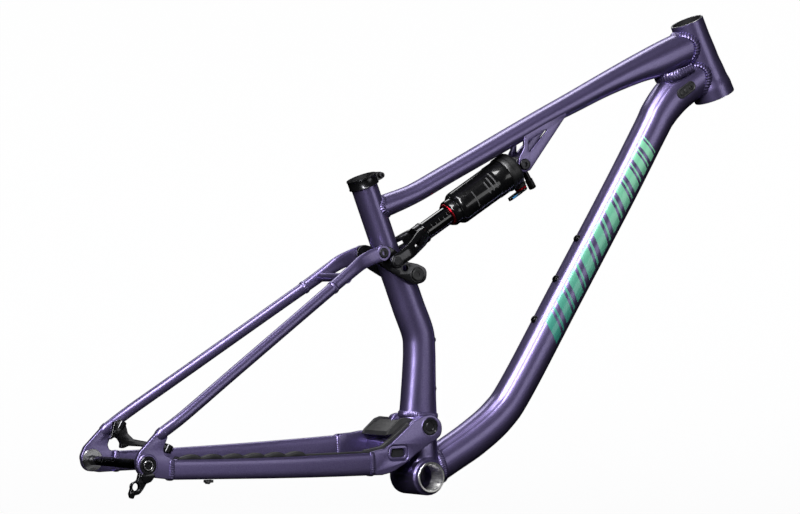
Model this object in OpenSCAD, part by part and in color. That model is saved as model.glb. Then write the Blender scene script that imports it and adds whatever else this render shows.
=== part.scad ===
// Full-suspension mountain bicycle frame with its linkage, shock and rear triangle.
// Origin: centre of the bottom bracket. +X forward, +Y left (bottom bracket axis), +Z up. Millimetres.

/* [Front triangle] */
// Forward distance from the bottom bracket to the top of the head tube
reach = 439.5; // [438:0.5:441]
// Height from the bottom bracket to the top of the head tube
stack = 603.3; // [602:0.1:605]
// Head tube angle from the horizontal
head_angle = 66.2; // [65.8:0.1:66.6]
// Head tube length
head_length = 111; // [109:1:113]
// Outside diameter at the top of the head tube
head_top_d = 46.6; // [46:0.2:48]
// Outside diameter at the bottom of the head tube
head_bottom_d = 57.2; // [56.6:0.2:58]
// Upper headset seat diameter
upper_seat_d = 42; // [41.8:0.1:42.2]
// Lower headset seat diameter
lower_seat_d = 52; // [51.8:0.1:52.2]
// Seat tube angle from the horizontal
seat_angle = 69.4; // [69.2:0.1:69.6]
// Seat tube outside diameter
seat_tube_d = 34.9; // [34.8:0.1:35]
// Seat post bore diameter
post_bore_d = 30.9; // [30.8:0.1:31]
// Depth of the seat post bore
post_bore_depth = 180; // [150:5:180]
// Wall thickness of the drawn tubes
tube_wall = 2.2; // [1.8:0.1:2.6]

/* [Bottom bracket] */
// Shell width
shell_width = 73; // [72:0.5:74]
// Threaded bore diameter
shell_bore_d = 34.8; // [34.6:0.1:35]
// Outside diameter of the forged shell
shell_d = 49; // [48:0.5:50]

/* [Rear triangle] */
// Rear axle behind the bottom bracket
axle_back = 435.5; // [434:0.5:437]
// Rear axle above the bottom bracket
axle_rise = 35.5; // [35:0.5:36]
// Hub spacing between the dropouts
hub_spacing = 148; // [148:1:150]
// Thru axle diameter
axle_d = 12; // [11.9:0.1:12]
// Seatstay tube diameter
seatstay_d = 14.4; // [13.6:0.2:14.8]

/* [Shock] */
// Outside diameter of the shock air can
can_d = 45.6; // [44:0.2:46]
// Shock shaft diameter
shaft_d = 25; // [24:0.2:25]

/* [Hidden] */
$fn = 48;

weld_gap = 0.1;      // gap left between welded tubes, so that each stays its own solid
run_gap = 0.05;      // radial clearance of a running fit
seat_gap = 0.02;     // radial clearance of a pressed or screwed fit
side_gap = 0.4;      // side clearance between moving bodies

// Pivots in the side view, [x, z]
main_pivot = [-5.5, 66.3];
rocker_pivot = [-10.5, 264.5];
seatstay_pivot = [-64, 293];
yoke_pivot = [-47.5, 282];
shock_pivot = [162, 408];
flex_point = [-411, 76.1];
seat_top = [-79, 392];

// Layers across the frame, from the seat tube outward, half widths in Y
rocker_inner = 18.7;
rocker_outer = 24.6;
ear_inner = 25;
ear_outer = 31;
yoke_inner = 31.6;
yoke_outer = 38;
forging_half = 31.8;
arm_inner = 32.5;
arm_outer = 44;

violet = [0.32, 0.28, 0.46];
black = [0.06, 0.06, 0.07];
graphite = [0.3, 0.3, 0.31];
bare_metal = [0.75, 0.75, 0.76];

// ---------------------------------------------------------------- lofted tubes
// A station is [x, y, z, half depth, half width, squareness]

function unit(v) = v / norm(v);
function place(s) = [s[0], s[1], s[2]];

function between(a, b, c, d, u) =
    0.5 * (2 * b + (c - a) * u + (2 * a - 5 * b + 4 * c - d) * u * u + (3 * b - a - 3 * c + d) * u * u * u);

function smooth(s, steps) = let (last = len(s) - 1)
    [for (i = [0:last - 1]) for (k = [0:steps - 1])
        between(s[max(i - 1, 0)], s[i], s[i + 1], s[min(i + 2, last)], k / steps), s[last]];

function grown(s, g) = [for (p = s) p + [0, 0, 0, g, g, 0]];

function corner_power(c, squareness) = sign(c) * pow(abs(c), 2 / squareness);

function ring_vertex(path, i, turn) =
    let (ahead = unit(place(path[min(i + 1, len(path) - 1)]) - place(path[max(i - 1, 0)])),
         side = unit([0, 1, 0] - ahead * ahead[1]),
         up = cross(ahead, side))
    place(path[i]) + up * path[i][3] * corner_power(cos(turn), path[i][5])
        + side * path[i][4] * corner_power(sin(turn), path[i][5]);

module loft(stations, steps = 3, sides = 20) {
    path = smooth(stations, steps);
    rings = len(path);
    polyhedron(
        points = [for (i = [0:rings - 1]) for (j = [0:sides - 1]) ring_vertex(path, i, 360 * (j + 0.5) / sides)],
        faces = concat(
            [[for (j = [sides - 1:-1:0]) j]],
            [for (i = [0:rings - 2]) for (j = [0:sides - 1])
                [i * sides + j, i * sides + (j + 1) % sides,
                 (i + 1) * sides + (j + 1) % sides, (i + 1) * sides + j]],
            [[for (j = [0:sides - 1]) (rings - 1) * sides + j]]));
}

// ---------------------------------------------------------------- placing helpers
// A cylinder across the frame at [x, z], from y0 to y1
module cross_pin(at, r, y0, y1) {
    translate([at[0], y0, at[1]]) rotate([-90, 0, 0]) cylinder(r = r, h = y1 - y0);
}

// The same on both sides, from inner to outer half width
module cross_pair(at, r, inner, outer) {
    cross_pin(at, r, inner, outer);
    cross_pin(at, r, -outer, -inner);
}

// A side-view outline of [x, z] points, extruded from y0 to y1
module side_plate(points, y0, y1) {
    translate([0, y1, 0]) rotate([90, 0, 0]) linear_extrude(height = y1 - y0) polygon(points);
}

// Removes everything on one side of a plane across the frame, which passes through [x, z].
// The removed side is the one the tilted +X direction points to.
module cut_ahead(at, tilt) {
    translate([at[0], 0, at[1]]) rotate([0, tilt, 0]) translate([0, -100, -150]) cube([300, 200, 300]);
}

module at_head() { translate([reach, 0, stack]) rotate([0, head_angle - 90, 0]) children(); }
module at_seat() { translate([seat_top[0], 0, seat_top[1]]) rotate([0, seat_angle - 90, 0]) children(); }

shock_run = yoke_pivot - shock_pivot;
shock_length = norm(shock_run);
shock_turn = atan2(shock_run[0], shock_run[1]);
// Local +Z runs from the front shock bolt to the yoke pivot, local +X points up to the top tube
module at_shock() { translate([shock_pivot[0], 0, shock_pivot[1]]) rotate([0, shock_turn, 0]) children(); }

// ---------------------------------------------------------------- front triangle
head_seat_depth = 8;
head_bore_d = 37;

module head_tube() {
    color(violet) at_head() rotate_extrude() polygon([
        [upper_seat_d / 2, 0], [head_top_d / 2, 0], [head_top_d / 2, -14],
        [head_top_d / 2 + 1.2, -50], [head_bottom_d / 2 - 1.6, -head_length + 22],
        [head_bottom_d / 2, -head_length + 12], [head_bottom_d / 2, -head_length],
        [lower_seat_d / 2, -head_length], [lower_seat_d / 2, -head_length + head_seat_depth],
        [head_bore_d / 2, -head_length + head_seat_depth + 6], [head_bore_d / 2, -head_seat_depth - 3],
        [upper_seat_d / 2, -head_seat_depth]]);
}

// The head tube's outside, grown by the weld gap, to mitre the tubes against it
module head_cutter() {
    at_head() rotate_extrude() polygon([
        [0, 1], [head_top_d / 2 + weld_gap, 1], [head_top_d / 2 + weld_gap, -14],
        [head_top_d / 2 + 1.2 + weld_gap, -50], [head_bottom_d / 2 - 1.6 + weld_gap, -head_length + 22],
        [head_bottom_d / 2 + weld_gap, -head_length + 12], [head_bottom_d / 2 + weld_gap, -head_length - 1],
        [0, -head_length - 1]]);
}

module seat_cutter() {
    at_seat() translate([0, 0, -170]) cylinder(d = seat_tube_d + 2 * weld_gap, h = 171);
}

top_tube_stations = [
    [-62, 0, 351, 11.5, 16, 2.2], [-38, 0, 358, 11.5, 16.4, 2.2], [0, 0, 370.3, 12.4, 17, 2.3],
    [50, 0, 395, 12.4, 17.5, 2.4], [100, 0, 419.5, 12.6, 18, 2.4], [150, 0, 444.3, 12.8, 18, 2.4],
    [200, 0, 468.8, 12.8, 18, 2.4], [250, 0, 491.6, 13.9, 18, 2.4], [300, 0, 514.5, 15.5, 18.6, 2.4],
    [350, 0, 535.3, 18.5, 20, 2.5], [385, 0, 548, 21.8, 21, 2.5], [420, 0, 562, 22.6, 21.4, 2.5],
    [452, 0, 574, 22.6, 21.4, 2.5]];

// The mitre between the top tube and the down tube behind the head tube
head_seam = [383, 519];
head_seam_slope = 22.9;

module above_head_seam(drop) {
    translate([head_seam[0], -60, head_seam[1] - drop]) rotate([0, -head_seam_slope, 0])
        translate([-60, 0, 0]) cube([200, 120, 120]);
}

module below_head_seam(lift) {
    translate([head_seam[0], -60, head_seam[1] + lift]) rotate([0, -head_seam_slope, 0])
        translate([-60, 0, -120]) cube([200, 120, 120]);
}

module top_tube() {
    color(violet) difference() {
        loft(top_tube_stations);
        loft(grown(top_tube_stations, -tube_wall), steps = 2);
        seat_cutter();
        head_cutter();
        below_head_seam(weld_gap);
    }
}

down_slope = 57;
down_mid = [229.5, 225.8];
down_depth = 23.4;
down_tube_stations = [
    [8, 0, 2.5, 23.5, 22, 2.2], [45, 0, 23.5, 24, 22.5, 2.2], [86, 0, 46.5, 24.5, 22.5, 2.2],
    [124.5, 0, 74.5, 24, 22.5, 2.2], [155, 0, 111, down_depth, 22.5, 2.2],
    [down_mid[0], 0, down_mid[1], down_depth, 22.5, 2.2], [320.5, 0, 366, down_depth, 22.5, 2.2],
    [374.6, 0, 452.8, down_depth, 22.8, 2.3], [389.8, 0, 477, 24.6, 23, 2.3],
    [411, 0, 500.5, 26.4, 23.4, 2.4], [446, 0, 524, 26, 23.6, 2.4], [462, 0, 532.5, 26, 23.6, 2.4]];

// Where the down tube is welded to the bottom bracket forging
down_weld = [26, 22];
down_weld_tilt = -14;

bottle_pitch = 64;
bottle_top_run = 83.6;
bolt_shank_r = 2.4;

// Bottle bolts stand on the upper surface, measured along the tube from its middle station
module at_down_bolts() {
    translate([down_mid[0], 0, down_mid[1]]) rotate([0, -down_slope, 0])
        for (k = [0:2]) translate([bottle_top_run - k * bottle_pitch, 0, down_depth]) children();
}

seat_bolt_x = 27.6;
seat_bolt_heights = [178, 114];

module at_seat_bolts() {
    for (z = seat_bolt_heights) translate([seat_bolt_x, 0, z]) rotate([0, 90, 0]) children();
}

module down_tube() {
    color(violet) difference() {
        loft(down_tube_stations);
        loft(grown(down_tube_stations, -tube_wall), steps = 2);
        translate([weld_gap, 0, 0]) mirror([1, 0, 0]) translate([-2 * down_weld[0], 0, 0])
            cut_ahead(down_weld, -down_weld_tilt);
        loft(grown(web_stations, weld_gap), steps = 2);
        head_cutter();
        above_head_seam(weld_gap);
        at_down_bolts() translate([0, 0, -6]) cylinder(r = bolt_shank_r + seat_gap, h = 12);
    }
}

// Seat tube below the rocker: drawn forward into a deep oval, then down to the forging
seat_run = [-cos(seat_angle), sin(seat_angle)];
seat_front = [sin(seat_angle), cos(seat_angle)];
function seat_axis(drop) = seat_top - drop * seat_run;
function seat_station(drop, depth, inset = 0) =
    let (p = seat_axis(drop) + max(depth - seat_tube_d / 2, 0) * seat_front)
    [p[0], 0, p[1], depth - inset, seat_tube_d / 2 - inset, 2];
round_end = 114;
seat_lower_stations = [
    [2.5, 0, 80.1, 26.5, 17.4, 2.3], [3.2, 0, 100, 24.6, 17.4, 2.3], [4.8, 0, 135, 22.8, 17.4, 2.3],
    [5.6, 0, 165, 22, 17.4, 2.2], [3.6, 0, 188, 22, 17.4, 2.2], seat_station(185, 22.4),
    seat_station(155, 22), seat_station(130, 19), seat_station(round_end + 2, seat_tube_d / 2, 0.3),
    seat_station(round_end - 6, seat_tube_d / 2, 0.8)];

module seat_tube() {
    color(violet) difference() {
        union() {
            at_seat() translate([0, 0, -round_end]) cylinder(d = seat_tube_d, h = round_end);
            loft(seat_lower_stations, sides = 24);
        }
        at_seat() translate([0, 0, -post_bore_depth]) cylinder(d = post_bore_d, h = post_bore_depth + 1);
        loft(grown([for (i = [0:4]) seat_lower_stations[i]], -tube_wall), steps = 2);
        cross_pin(rocker_pivot, boss_r + weld_gap, -40, 40);
        at_seat_bolts() translate([0, 0, -6]) cylinder(r = bolt_shank_r + seat_gap, h = 12);
        at_seat() translate([-3, -1.2, -22]) mirror([1, 0, 0]) cube([30, 2.4, 40]);
    }
}

boss_r = 12.5;
boss_half = 18.2;
rocker_bolt_r = 5;
rocker_bolt_depth = 9;

module rocker_pivot_boss() {
    color(violet) difference() {
        cross_pin(rocker_pivot, boss_r, -boss_half, boss_half);
        cross_pair(rocker_pivot, rocker_bolt_r + seat_gap, boss_half - rocker_bolt_depth, boss_half + 1);
        at_seat() translate([0, 0, -post_bore_depth]) cylinder(d = post_bore_d + 0.4, h = post_bore_depth);
    }
}

// Bottom bracket forging: shell, web up to the seat tube, main pivot boss and down tube socket
web_stations = [
    [2.5, 0, 80, 26.4, 17.4, 2.3], [2, 0, 72, 26, 20, 2.3], [0, 0, 56, 25, 26, 2.5],
    [-0.5, 0, 36, 24.4, 29, 2.6], [-0.5, 0, 10, 24, 29.5, 2.6]];
neck_half = 30;
neck_d = 42;
pivot_boss_r = 13.2;
pivot_bearing_r = 11;
pivot_axle_r = 7.5;
pivot_bearing_w = 8;

module bb_shell() {
    color(violet) difference() {
        union() {
            cross_pin([0, 0], shell_d / 2, -neck_half, neck_half);
            cross_pin([0, 0], neck_d / 2, -shell_width / 2, shell_width / 2);
            loft(web_stations, steps = 2);
            cross_pin(main_pivot, pivot_boss_r, -forging_half, forging_half);
            difference() {
                loft([down_tube_stations[0], down_tube_stations[1], down_tube_stations[2]], steps = 2);
                cut_ahead(down_weld, down_weld_tilt);
            }
        }
        cross_pin([0, 0], shell_bore_d / 2, -40, 40);
        cross_pin(main_pivot, pivot_axle_r + 1.5, -40, 40);
        cross_pair(main_pivot, pivot_bearing_r, forging_half - pivot_bearing_w, 40);
    }
}

module main_pivot_bearings() {
    color(bare_metal) difference() {
        cross_pair(main_pivot, pivot_bearing_r - seat_gap, forging_half - pivot_bearing_w + seat_gap, forging_half);
        cross_pin(main_pivot, pivot_axle_r + run_gap, -40, 40);
    }
}

// Shock mount: two pierced V plates under the top tube that hold the front shock bolt
mount_inner = 12.5;
mount_outer = 17.3;
mount_eye_r = 9;
shock_bolt_r = 4;

module mount_plate(y0, y1) {
    difference() {
        union() {
            side_plate([[156, 404], [161, 425], [162, 450], [228, 484], [229.5, 473], [171, 402]], y0, y1);
            cross_pin(shock_pivot, mount_eye_r, y0, y1);
        }
        side_plate([[168.5, 422], [168.5, 440], [182, 448], [203, 459]], y0 - 1, y1 + 1);
    }
}

module shock_mount() {
    color(violet) difference() {
        union() {
            mount_plate(mount_inner, mount_outer);
            mount_plate(-mount_outer, -mount_inner);
        }
        loft(grown([for (i = [5:8]) top_tube_stations[i]], weld_gap));
        cross_pin(shock_pivot, shock_bolt_r + seat_gap, -30, 30);
    }
}

module shock_front_bolt() {
    color(black) {
        cross_pin(shock_pivot, shock_bolt_r, -mount_outer - 1, mount_outer + 1);
        cross_pair(shock_pivot, 7.6, mount_outer + weld_gap, mount_outer + 4);
    }
}

// Seat collar with a slotted pair of ears in front
collar_height = 13;
collar_wall = 2.6;
collar_ear_x = 24.5;
collar_ear_r = 5.2;

module seat_collar() {
    color(black) difference() {
        union() {
            at_seat() translate([0, 0, -collar_height]) cylinder(d = seat_tube_d + 2 * collar_wall, h = collar_height);
            at_seat() translate([16, -9, -collar_height / 2 - collar_ear_r])
                cube([collar_ear_x - 16, 18, 2 * collar_ear_r]);
            at_seat() translate([collar_ear_x, -9, -collar_height / 2]) rotate([-90, 0, 0])
                cylinder(r = collar_ear_r, h = 18);
        }
        at_seat() translate([0, 0, -30]) cylinder(d = seat_tube_d + 2 * seat_gap, h = 40);
        at_seat() translate([10, -1, -20]) cube([30, 2, 40]);
        at_seat() translate([collar_ear_x, -20, -collar_height / 2]) rotate([-90, 0, 0])
            cylinder(r = 2.5 + seat_gap, h = 40);
    }
}

module seat_collar_bolt() {
    color(black) at_seat() translate([collar_ear_x, 0, -collar_height / 2]) rotate([90, 0, 0]) {
        translate([0, 0, -11]) cylinder(r = 2.5, h = 22);
        translate([0, 0, 9 + weld_gap]) cylinder(r = 4.3, h = 4.5);
        translate([0, 0, -13]) cylinder(r = 4.3, h = 4 - weld_gap);
    }
}

module bottle_bolts() {
    color(black) {
        at_down_bolts() {
            translate([0, 0, -5]) cylinder(r = bolt_shank_r, h = 7);
            translate([0, 0, 0.6]) cylinder(r = 4.6, h = 2.4);
        }
        at_seat_bolts() {
            translate([0, 0, -5]) cylinder(r = bolt_shank_r, h = 7);
            translate([0, 0, 0.6]) cylinder(r = 3.6, h = 1.6);
        }
    }
}

// Cable port on the drive side of the down tube, behind the head tube
port = [421, 509];
port_slope = 32;
port_length = 30;
port_r = 5.6;
port_y = -27;

module at_port() { translate([port[0], port_y, port[1]]) rotate([0, -port_slope, 0]) rotate([90, 0, 0]) children(); }

module cable_port_cover() {
    color(black) at_port() difference() {
        linear_extrude(height = 2) union() {
            translate([port_r - port_length / 2, 0]) circle(r = port_r);
            translate([port_length / 2 - port_r, 0]) circle(r = port_r);
            translate([port_r - port_length / 2, -port_r]) square([port_length - 2 * port_r, 2 * port_r]);
        }
        translate([8, 0, -1]) cylinder(r = 1.6, h = 5);
    }
}

module cable_port_screw() {
    color(graphite) at_port() {
        translate([8, 0, 0.2]) cylinder(r = 1.6 - seat_gap, h = 2);
        translate([8, 0, 2 + weld_gap]) cylinder(r = 2.8, h = 1);
    }
}

// ---------------------------------------------------------------- swingarm
module rear_axle_pin(r, y0, y1) { cross_pin([-axle_back, axle_rise], r, y0, y1); }

// The drive side stay runs low for the chainring, the other side runs higher
right_stay = [
    [-96, -41.5, 21.8, 15, 7, 4], [-160, -50, 22.6, 14.6, 7.5, 4], [-240, -60, 24, 13.8, 7.5, 4],
    [-330, -69, 26.4, 13, 7, 4], [-402, -75, 28.8, 12.8, 6, 4]];
left_stay = [
    [-96, 41.5, 41, 15, 7, 4], [-160, 50, 38, 14.6, 7.5, 4], [-240, 60, 35.5, 13.8, 7.5, 4],
    [-330, 69, 33.8, 13, 7, 4], [-402, 75, 33, 12.8, 6, 4]];

module stay(stations) {
    difference() {
        loft(stations, steps = 2, sides = 16);
        loft(grown(stations, -tube_wall), steps = 1, sides = 16);
        mirror([1, 0, 0]) cut_ahead([401, 30], 0);
        cut_ahead([-97 - weld_gap, 30], 0);
    }
}

module chainstay_right() { color(violet) stay(right_stay); }
module chainstay_left() { color(violet) stay(left_stay); }

eye_r = 15.5;
cap_r = 11.4;

// Front arm of the swingarm beside the forging: outline points run from the stay up to the pivot eye
module pivot_arm(outline, y0, y1) {
    difference() {
        union() {
            side_plate(outline, y0, y1);
            cross_pin(main_pivot, eye_r, y0, y1);
        }
        cross_pin(main_pivot, pivot_axle_r + seat_gap, y0 - 1, y1 + 1);
    }
}

right_arm_outline = [[-97, 6.6], [-78, 6.2], [-62, 9.5], [-44, 19.5], [-26, 32], [3.5, 53.6],
    [-14, 79.2], [-30, 73.5], [-62, 48], [-74, 40.5], [-97, 36.8]];
left_arm_outline = [[-97, 26], [-76, 26.5], [-50, 31], [-24, 41], [3.5, 53.6],
    [-13, 79.9], [-19, 72.2], [-27, 65.6], [-37, 61.4], [-62, 60.6], [-76, 58.6], [-97, 57.4]];

module chainstay_arm_right() {
    color(violet) difference() {
        pivot_arm(right_arm_outline, -arm_outer, -arm_inner);
        side_plate([[-66, 28.5], [-62, 40], [-43, 40], [-43, 28.5]], -50, -39);
        cross_pin(main_pivot, cap_r + 0.3, -50, -arm_outer + 3);
    }
}

module chainstay_arm_left() {
    color(violet) difference() {
        pivot_arm(left_arm_outline, arm_inner, arm_outer);
        cross_pin(main_pivot, cap_r + 0.3, arm_outer - 3, 50);
    }
}

module chainstay_bridge() {
    color(violet) difference() {
        side_plate([[-57, 33], [-40, 33], [-38, 40], [-40, 50], [-57, 50]],
            -arm_inner + weld_gap, arm_inner - weld_gap);
        side_plate([[-60, 37.5], [-44, 37.5], [-44, 45.5], [-60, 45.5]], -26, 26);
    }
}

module main_pivot_axle() {
    color(bare_metal) difference() {
        cross_pin(main_pivot, pivot_axle_r, -arm_outer + 3.2, arm_outer - 3.2);
        cross_pin(main_pivot, 5, -50, 50);
    }
}

module main_pivot_caps() {
    color(black) difference() {
        cross_pair(main_pivot, cap_r, arm_outer - 2.9, arm_outer + 0.8);
        cross_pair(main_pivot, 3.5, arm_outer - 1.5, 60);
    }
}

dropout_inner = hub_spacing / 2;
dropout_outer = dropout_inner + 7;
axle = [-axle_back, axle_rise];
stay_angle = 33.1;
flex_gap = 0.7;

// Shared outline: chainstay tongue, axle boss, upright to the seatstay and the notch between them
function dropout_outline(low, high) = [
    [-401.2, low], [-426, axle_rise - 16], [-447, axle_rise - 8], [-450.5, axle_rise + 6], [-446, axle_rise + 17],
    [-424, axle_rise + 38], [-418, flex_point[1] + 6], [-406, flex_point[1] + 8], [-401.5, flex_point[1]],
    [-404, 68], [-410, 62], [-413, 55], [-411, 48], [-401.2, high]];

// Everything beyond the flexing end of the seatstay, measured along the stay
module past_flex(shift) {
    translate([flex_point[0], -100, flex_point[1]]) rotate([0, -stay_angle, 0])
        translate([shift, 0, -30]) cube([60, 200, 60]);
}

module dropout(y0, y1, outline) {
    difference() {
        union() {
            side_plate(outline, y0, y1);
            rear_axle_pin(15, y0, y1);
        }
        rear_axle_pin(axle_d / 2 + seat_gap, -100, 100);
        past_flex(-flex_gap);
    }
}

module dropout_right() {
    color(violet) difference() {
        dropout(-dropout_outer, -dropout_inner, dropout_outline(16, 41.6));
        rear_axle_pin(11.5, -dropout_outer - 1, -dropout_outer + 3);
        hanger_blank(-dropout_inner - 4 - weld_gap, -dropout_inner + 1, weld_gap);
    }
}

module dropout_left() {
    color(violet) dropout(dropout_inner, dropout_outer, dropout_outline(20, 45.8));
}

axle_reach = dropout_outer + 2;

module thru_axle() {
    color(black) difference() {
        union() {
            rear_axle_pin(axle_d / 2, -dropout_outer - 0.5, axle_reach);
            rear_axle_pin(9, dropout_outer + weld_gap, dropout_outer + 4);
        }
        rear_axle_pin(3, 70, 100);
        rear_axle_pin(4, -100, -74);
    }
}

module axle_nut() {
    color(black) difference() {
        rear_axle_pin(11.3, -dropout_outer - 1.5, -dropout_outer + 2.8);
        rear_axle_pin(axle_d / 2 + seat_gap, -100, -60);
    }
}

hanger_hole = [-452, 9.5];

module hanger_blank(y0, y1, growth) {
    rear_axle_pin(13 + growth, y0, y1);
    side_plate([[-447 - growth, 30], [-449, 12], [-440, 4], [-430, 14], [-424 + growth, 24], [-427, 40]], y0, y1);
}

module derailleur_hanger() {
    color(black) difference() {
        union() {
            hanger_blank(-dropout_inner - 4, -dropout_inner, 0);
            cross_pin(hanger_hole, 9.4, -dropout_inner - 7, -dropout_inner);
            side_plate([[-458, 8], [-460, -2], [-456, -5], [-450, -2], [-446, 4]], -dropout_inner - 7, -dropout_inner);
        }
        rear_axle_pin(axle_d / 2 + seat_gap, -100, -60);
        cross_pin(hanger_hole, 5, -100, -60);
    }
}

// Brake bracket between the left dropout's upright and its chainstay, with two caliper posts
brake_upper = [-398, 81];
brake_lower = [-333, 45.2];
brake_y = 66;
brake_post_r = 6;
brake_hole_r = 2.5;
brake_tilt = atan2(brake_upper[1] - brake_lower[1], brake_lower[0] - brake_upper[0]);

module at_post(at) { translate([at[0], brake_y, at[1]]) rotate([0, brake_tilt, 0]) children(); }

module brake_bracket() {
    color(black) difference() {
        union() {
            side_plate([[-417, 60], [-410, 84], [-400, 88], [-394, 80], [-392, 70], [-384, 63.5], [-366, 60],
                [-340, 52], [-330, 51], [-326, 43], [-335, 40.6], [-350, 47], [-372, 53], [-390, 54],
                [-397, 49.5], [-402, 49.5], [-401, 56], [-405, 62], [-410, 66]], brake_y - 6, brake_y + 2);
            side_plate([[-417, 60], [-418, 71], [-413, 71.5], [-406, 63], [-409, 60]],
                brake_y + 2, dropout_inner - weld_gap);
        }
        loft(grown(left_stay, weld_gap), steps = 2);
        at_post(brake_upper) translate([0, -2, -8]) cylinder(r = brake_hole_r, h = 30);
        at_post(brake_lower) translate([0, -2, -12]) cylinder(r = brake_hole_r, h = 30);
    }
}

module brake_bracket_bolts() {
    color(black) {
        cross_pin([-408.5, 71], 3.4, brake_y - 9, brake_y - 6 - weld_gap);
        cross_pin([-397.5, 53], 2.4, brake_y - 9, brake_y - 6 - weld_gap);
    }
}

// Rubber guard on the drive side stay: a strip with a row of rounded humps
guard_humps = 6;
guard_pitch = 32;
guard_start = -388;

function stay_top(x) = let (s = (x + 96) / (-402 + 96))
    [x, -41.5 - 36 * s + 2.5 * s * s, 36.8 + 1.2 * s + 3.8 * s * s];

function guard_station(x, h, w) = let (p = stay_top(x)) [p[0], p[1], p[2] + h + 0.4, h, w, 3];

guard_stations = concat(
    [guard_station(-396, 0.9, 4)],
    [for (k = [0:guard_humps - 1]) for (part = [0:3])
        guard_station(guard_start + guard_pitch * (k + part / 4), part == 2 ? 3.2 : part == 0 ? 1.2 : 2.2, 6)],
    [guard_station(guard_start + guard_pitch * guard_humps, 1.8, 6), guard_station(-150, 2.2, 6),
     guard_station(-104, 2.4, 6)]);

module chainstay_guard() {
    color(graphite) {
        difference() {
            loft(guard_stations, steps = 1, sides = 12);
            loft(grown(right_stay, weld_gap), steps = 2, sides = 16);
        }
        side_plate([[-96, 37.2], [-74, 41], [-62, 48.5], [-33, 71.6], [-35, 75.2], [-66, 52.6], [-76, 45.8], [-96, 42]],
            -arm_outer, -arm_inner - 2);
    }
}

// Faceted plastic guard on the arms, around the back of the seat tube
module mud_guard() {
    color(graphite) difference() {
        side_plate([[-66, 52], [-66, 59.5], [-42, 60.4], [-33, 63], [-25, 69], [-20, 74.6],
            [-22, 68], [-33, 58], [-44, 54]], -arm_inner + 0.3, arm_inner - 0.3);
        side_plate([[-44, 40], [-44, 100], [0, 100], [0, 40]], -28.2, 28.2);
    }
}

module cable_clip() {
    color(black) {
        translate([-350, -74, 10.2]) cube([9, 7, 2.6]);
        cross_pin([-347, 10.4], 2.2, -74, -67);
    }
}

// ---------------------------------------------------------------- seatstays
stay_run = [cos(stay_angle), sin(stay_angle)];
ear_mid = (ear_inner + ear_outer) / 2;

function flex_station(d, y, depth, width) =
    [flex_point[0] + d * stay_run[0], y, flex_point[1] + d * stay_run[1], depth, width, 2];

function seatstay_stations(side) = [
    flex_station(flex_gap - 6, side * (dropout_inner + 4), seatstay_d / 2, seatstay_d / 2),
    flex_station(36, side * 77.2, seatstay_d / 2, seatstay_d / 2 - 0.6),
    flex_station(120, side * 65, seatstay_d / 2, seatstay_d / 2 - 0.6),
    flex_station(240, side * 48.6, seatstay_d / 2, seatstay_d / 2 - 0.6),
    flex_station(330, side * 36.2, seatstay_d / 2 + 0.4, seatstay_d / 2 - 0.4),
    [-105, side * 31.4, 276, 9.6, 4.6, 2],
    [-84, side * ear_mid, 286.4, 9.8, 2.9, 2],
    [seatstay_pivot[0], side * ear_mid, seatstay_pivot[1], 9.8, 2.9, 2]];

pivot_shank_r = 3.5;

module seatstay(side) {
    difference() {
        union() {
            difference() {
                loft(seatstay_stations(side), steps = 2, sides = 14);
                translate([flex_point[0], -100, flex_point[1]]) rotate([0, -stay_angle, 0])
                    translate([flex_gap - 60, 0, -30]) cube([60, 200, 60]);
            }
            cross_pin(seatstay_pivot, 10.4, side > 0 ? ear_inner : -ear_outer, side > 0 ? ear_outer : -ear_inner);
        }
        cross_pin(seatstay_pivot, pivot_shank_r + seat_gap, -50, 50);
        cross_pair(seatstay_pivot, 7, ear_outer - 3, 50);
        translate([-126, -ear_inner, 200]) cube([120, 2 * ear_inner, 130]);
    }
}

module seatstay_right() { color(violet) seatstay(-1); }
module seatstay_left() { color(violet) seatstay(1); }

bridge_at = [-124, 262.5];

module seatstay_bridge() {
    color(violet) difference() {
        translate([bridge_at[0], -36, bridge_at[1]]) rotate([-90, 0, 0]) cylinder(r = 5.5, h = 72);
        loft(grown(seatstay_stations(1), weld_gap), steps = 2, sides = 14);
        loft(grown(seatstay_stations(-1), weld_gap), steps = 2, sides = 14);
    }
}

module seatstay_pivot_bolts() {
    color(black) difference() {
        union() {
            cross_pair(seatstay_pivot, pivot_shank_r, rocker_inner + 0.6, ear_outer - 1);
            cross_pair(seatstay_pivot, 6.9, ear_outer - 2.9, ear_outer + 0.1);
        }
        cross_pair(seatstay_pivot, 2, ear_outer - 2, 50);
    }
}

// ---------------------------------------------------------------- rocker link
rear_eye_r = 11;
rear_bore_r = 9;
yoke_bore_r = 7;
front_eye_r = 13.5;
rocker_bearing_r = 9;

module rocker(y0, y1) {
    difference() {
        union() {
            side_plate([[-60, 303.2], [-40, 294.5], [-24, 281], [-9, 277.9], [2.5, 268], [1, 256.5],
                [-14, 251.4], [-40, 263], [-56, 272], [-70.5, 284.2]], y0, y1);
            cross_pin(seatstay_pivot, rear_eye_r, y0, y1);
            cross_pin(rocker_pivot, front_eye_r, y0, y1);
        }
        cross_pin(seatstay_pivot, rear_bore_r, y0 - 1, y1 + 1);
        cross_pin(yoke_pivot, yoke_bore_r, y0 - 1, y1 + 1);
        cross_pin(rocker_pivot, rocker_bearing_r, y0 - 1, y1 + 1);
        cross_pin([-28.5, 273], 4, y0 - 1, y1 + 1);
    }
}

module rocker_right() { color(black) rocker(-rocker_outer, -rocker_inner); }
module rocker_left() { color(black) rocker(rocker_inner, rocker_outer); }

module rocker_bearings() {
    color(bare_metal) difference() {
        cross_pair(rocker_pivot, rocker_bearing_r - seat_gap, rocker_inner + 0.3, rocker_outer - 0.2);
        cross_pin(rocker_pivot, rocker_bolt_r + run_gap, -40, 40);
    }
}

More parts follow.
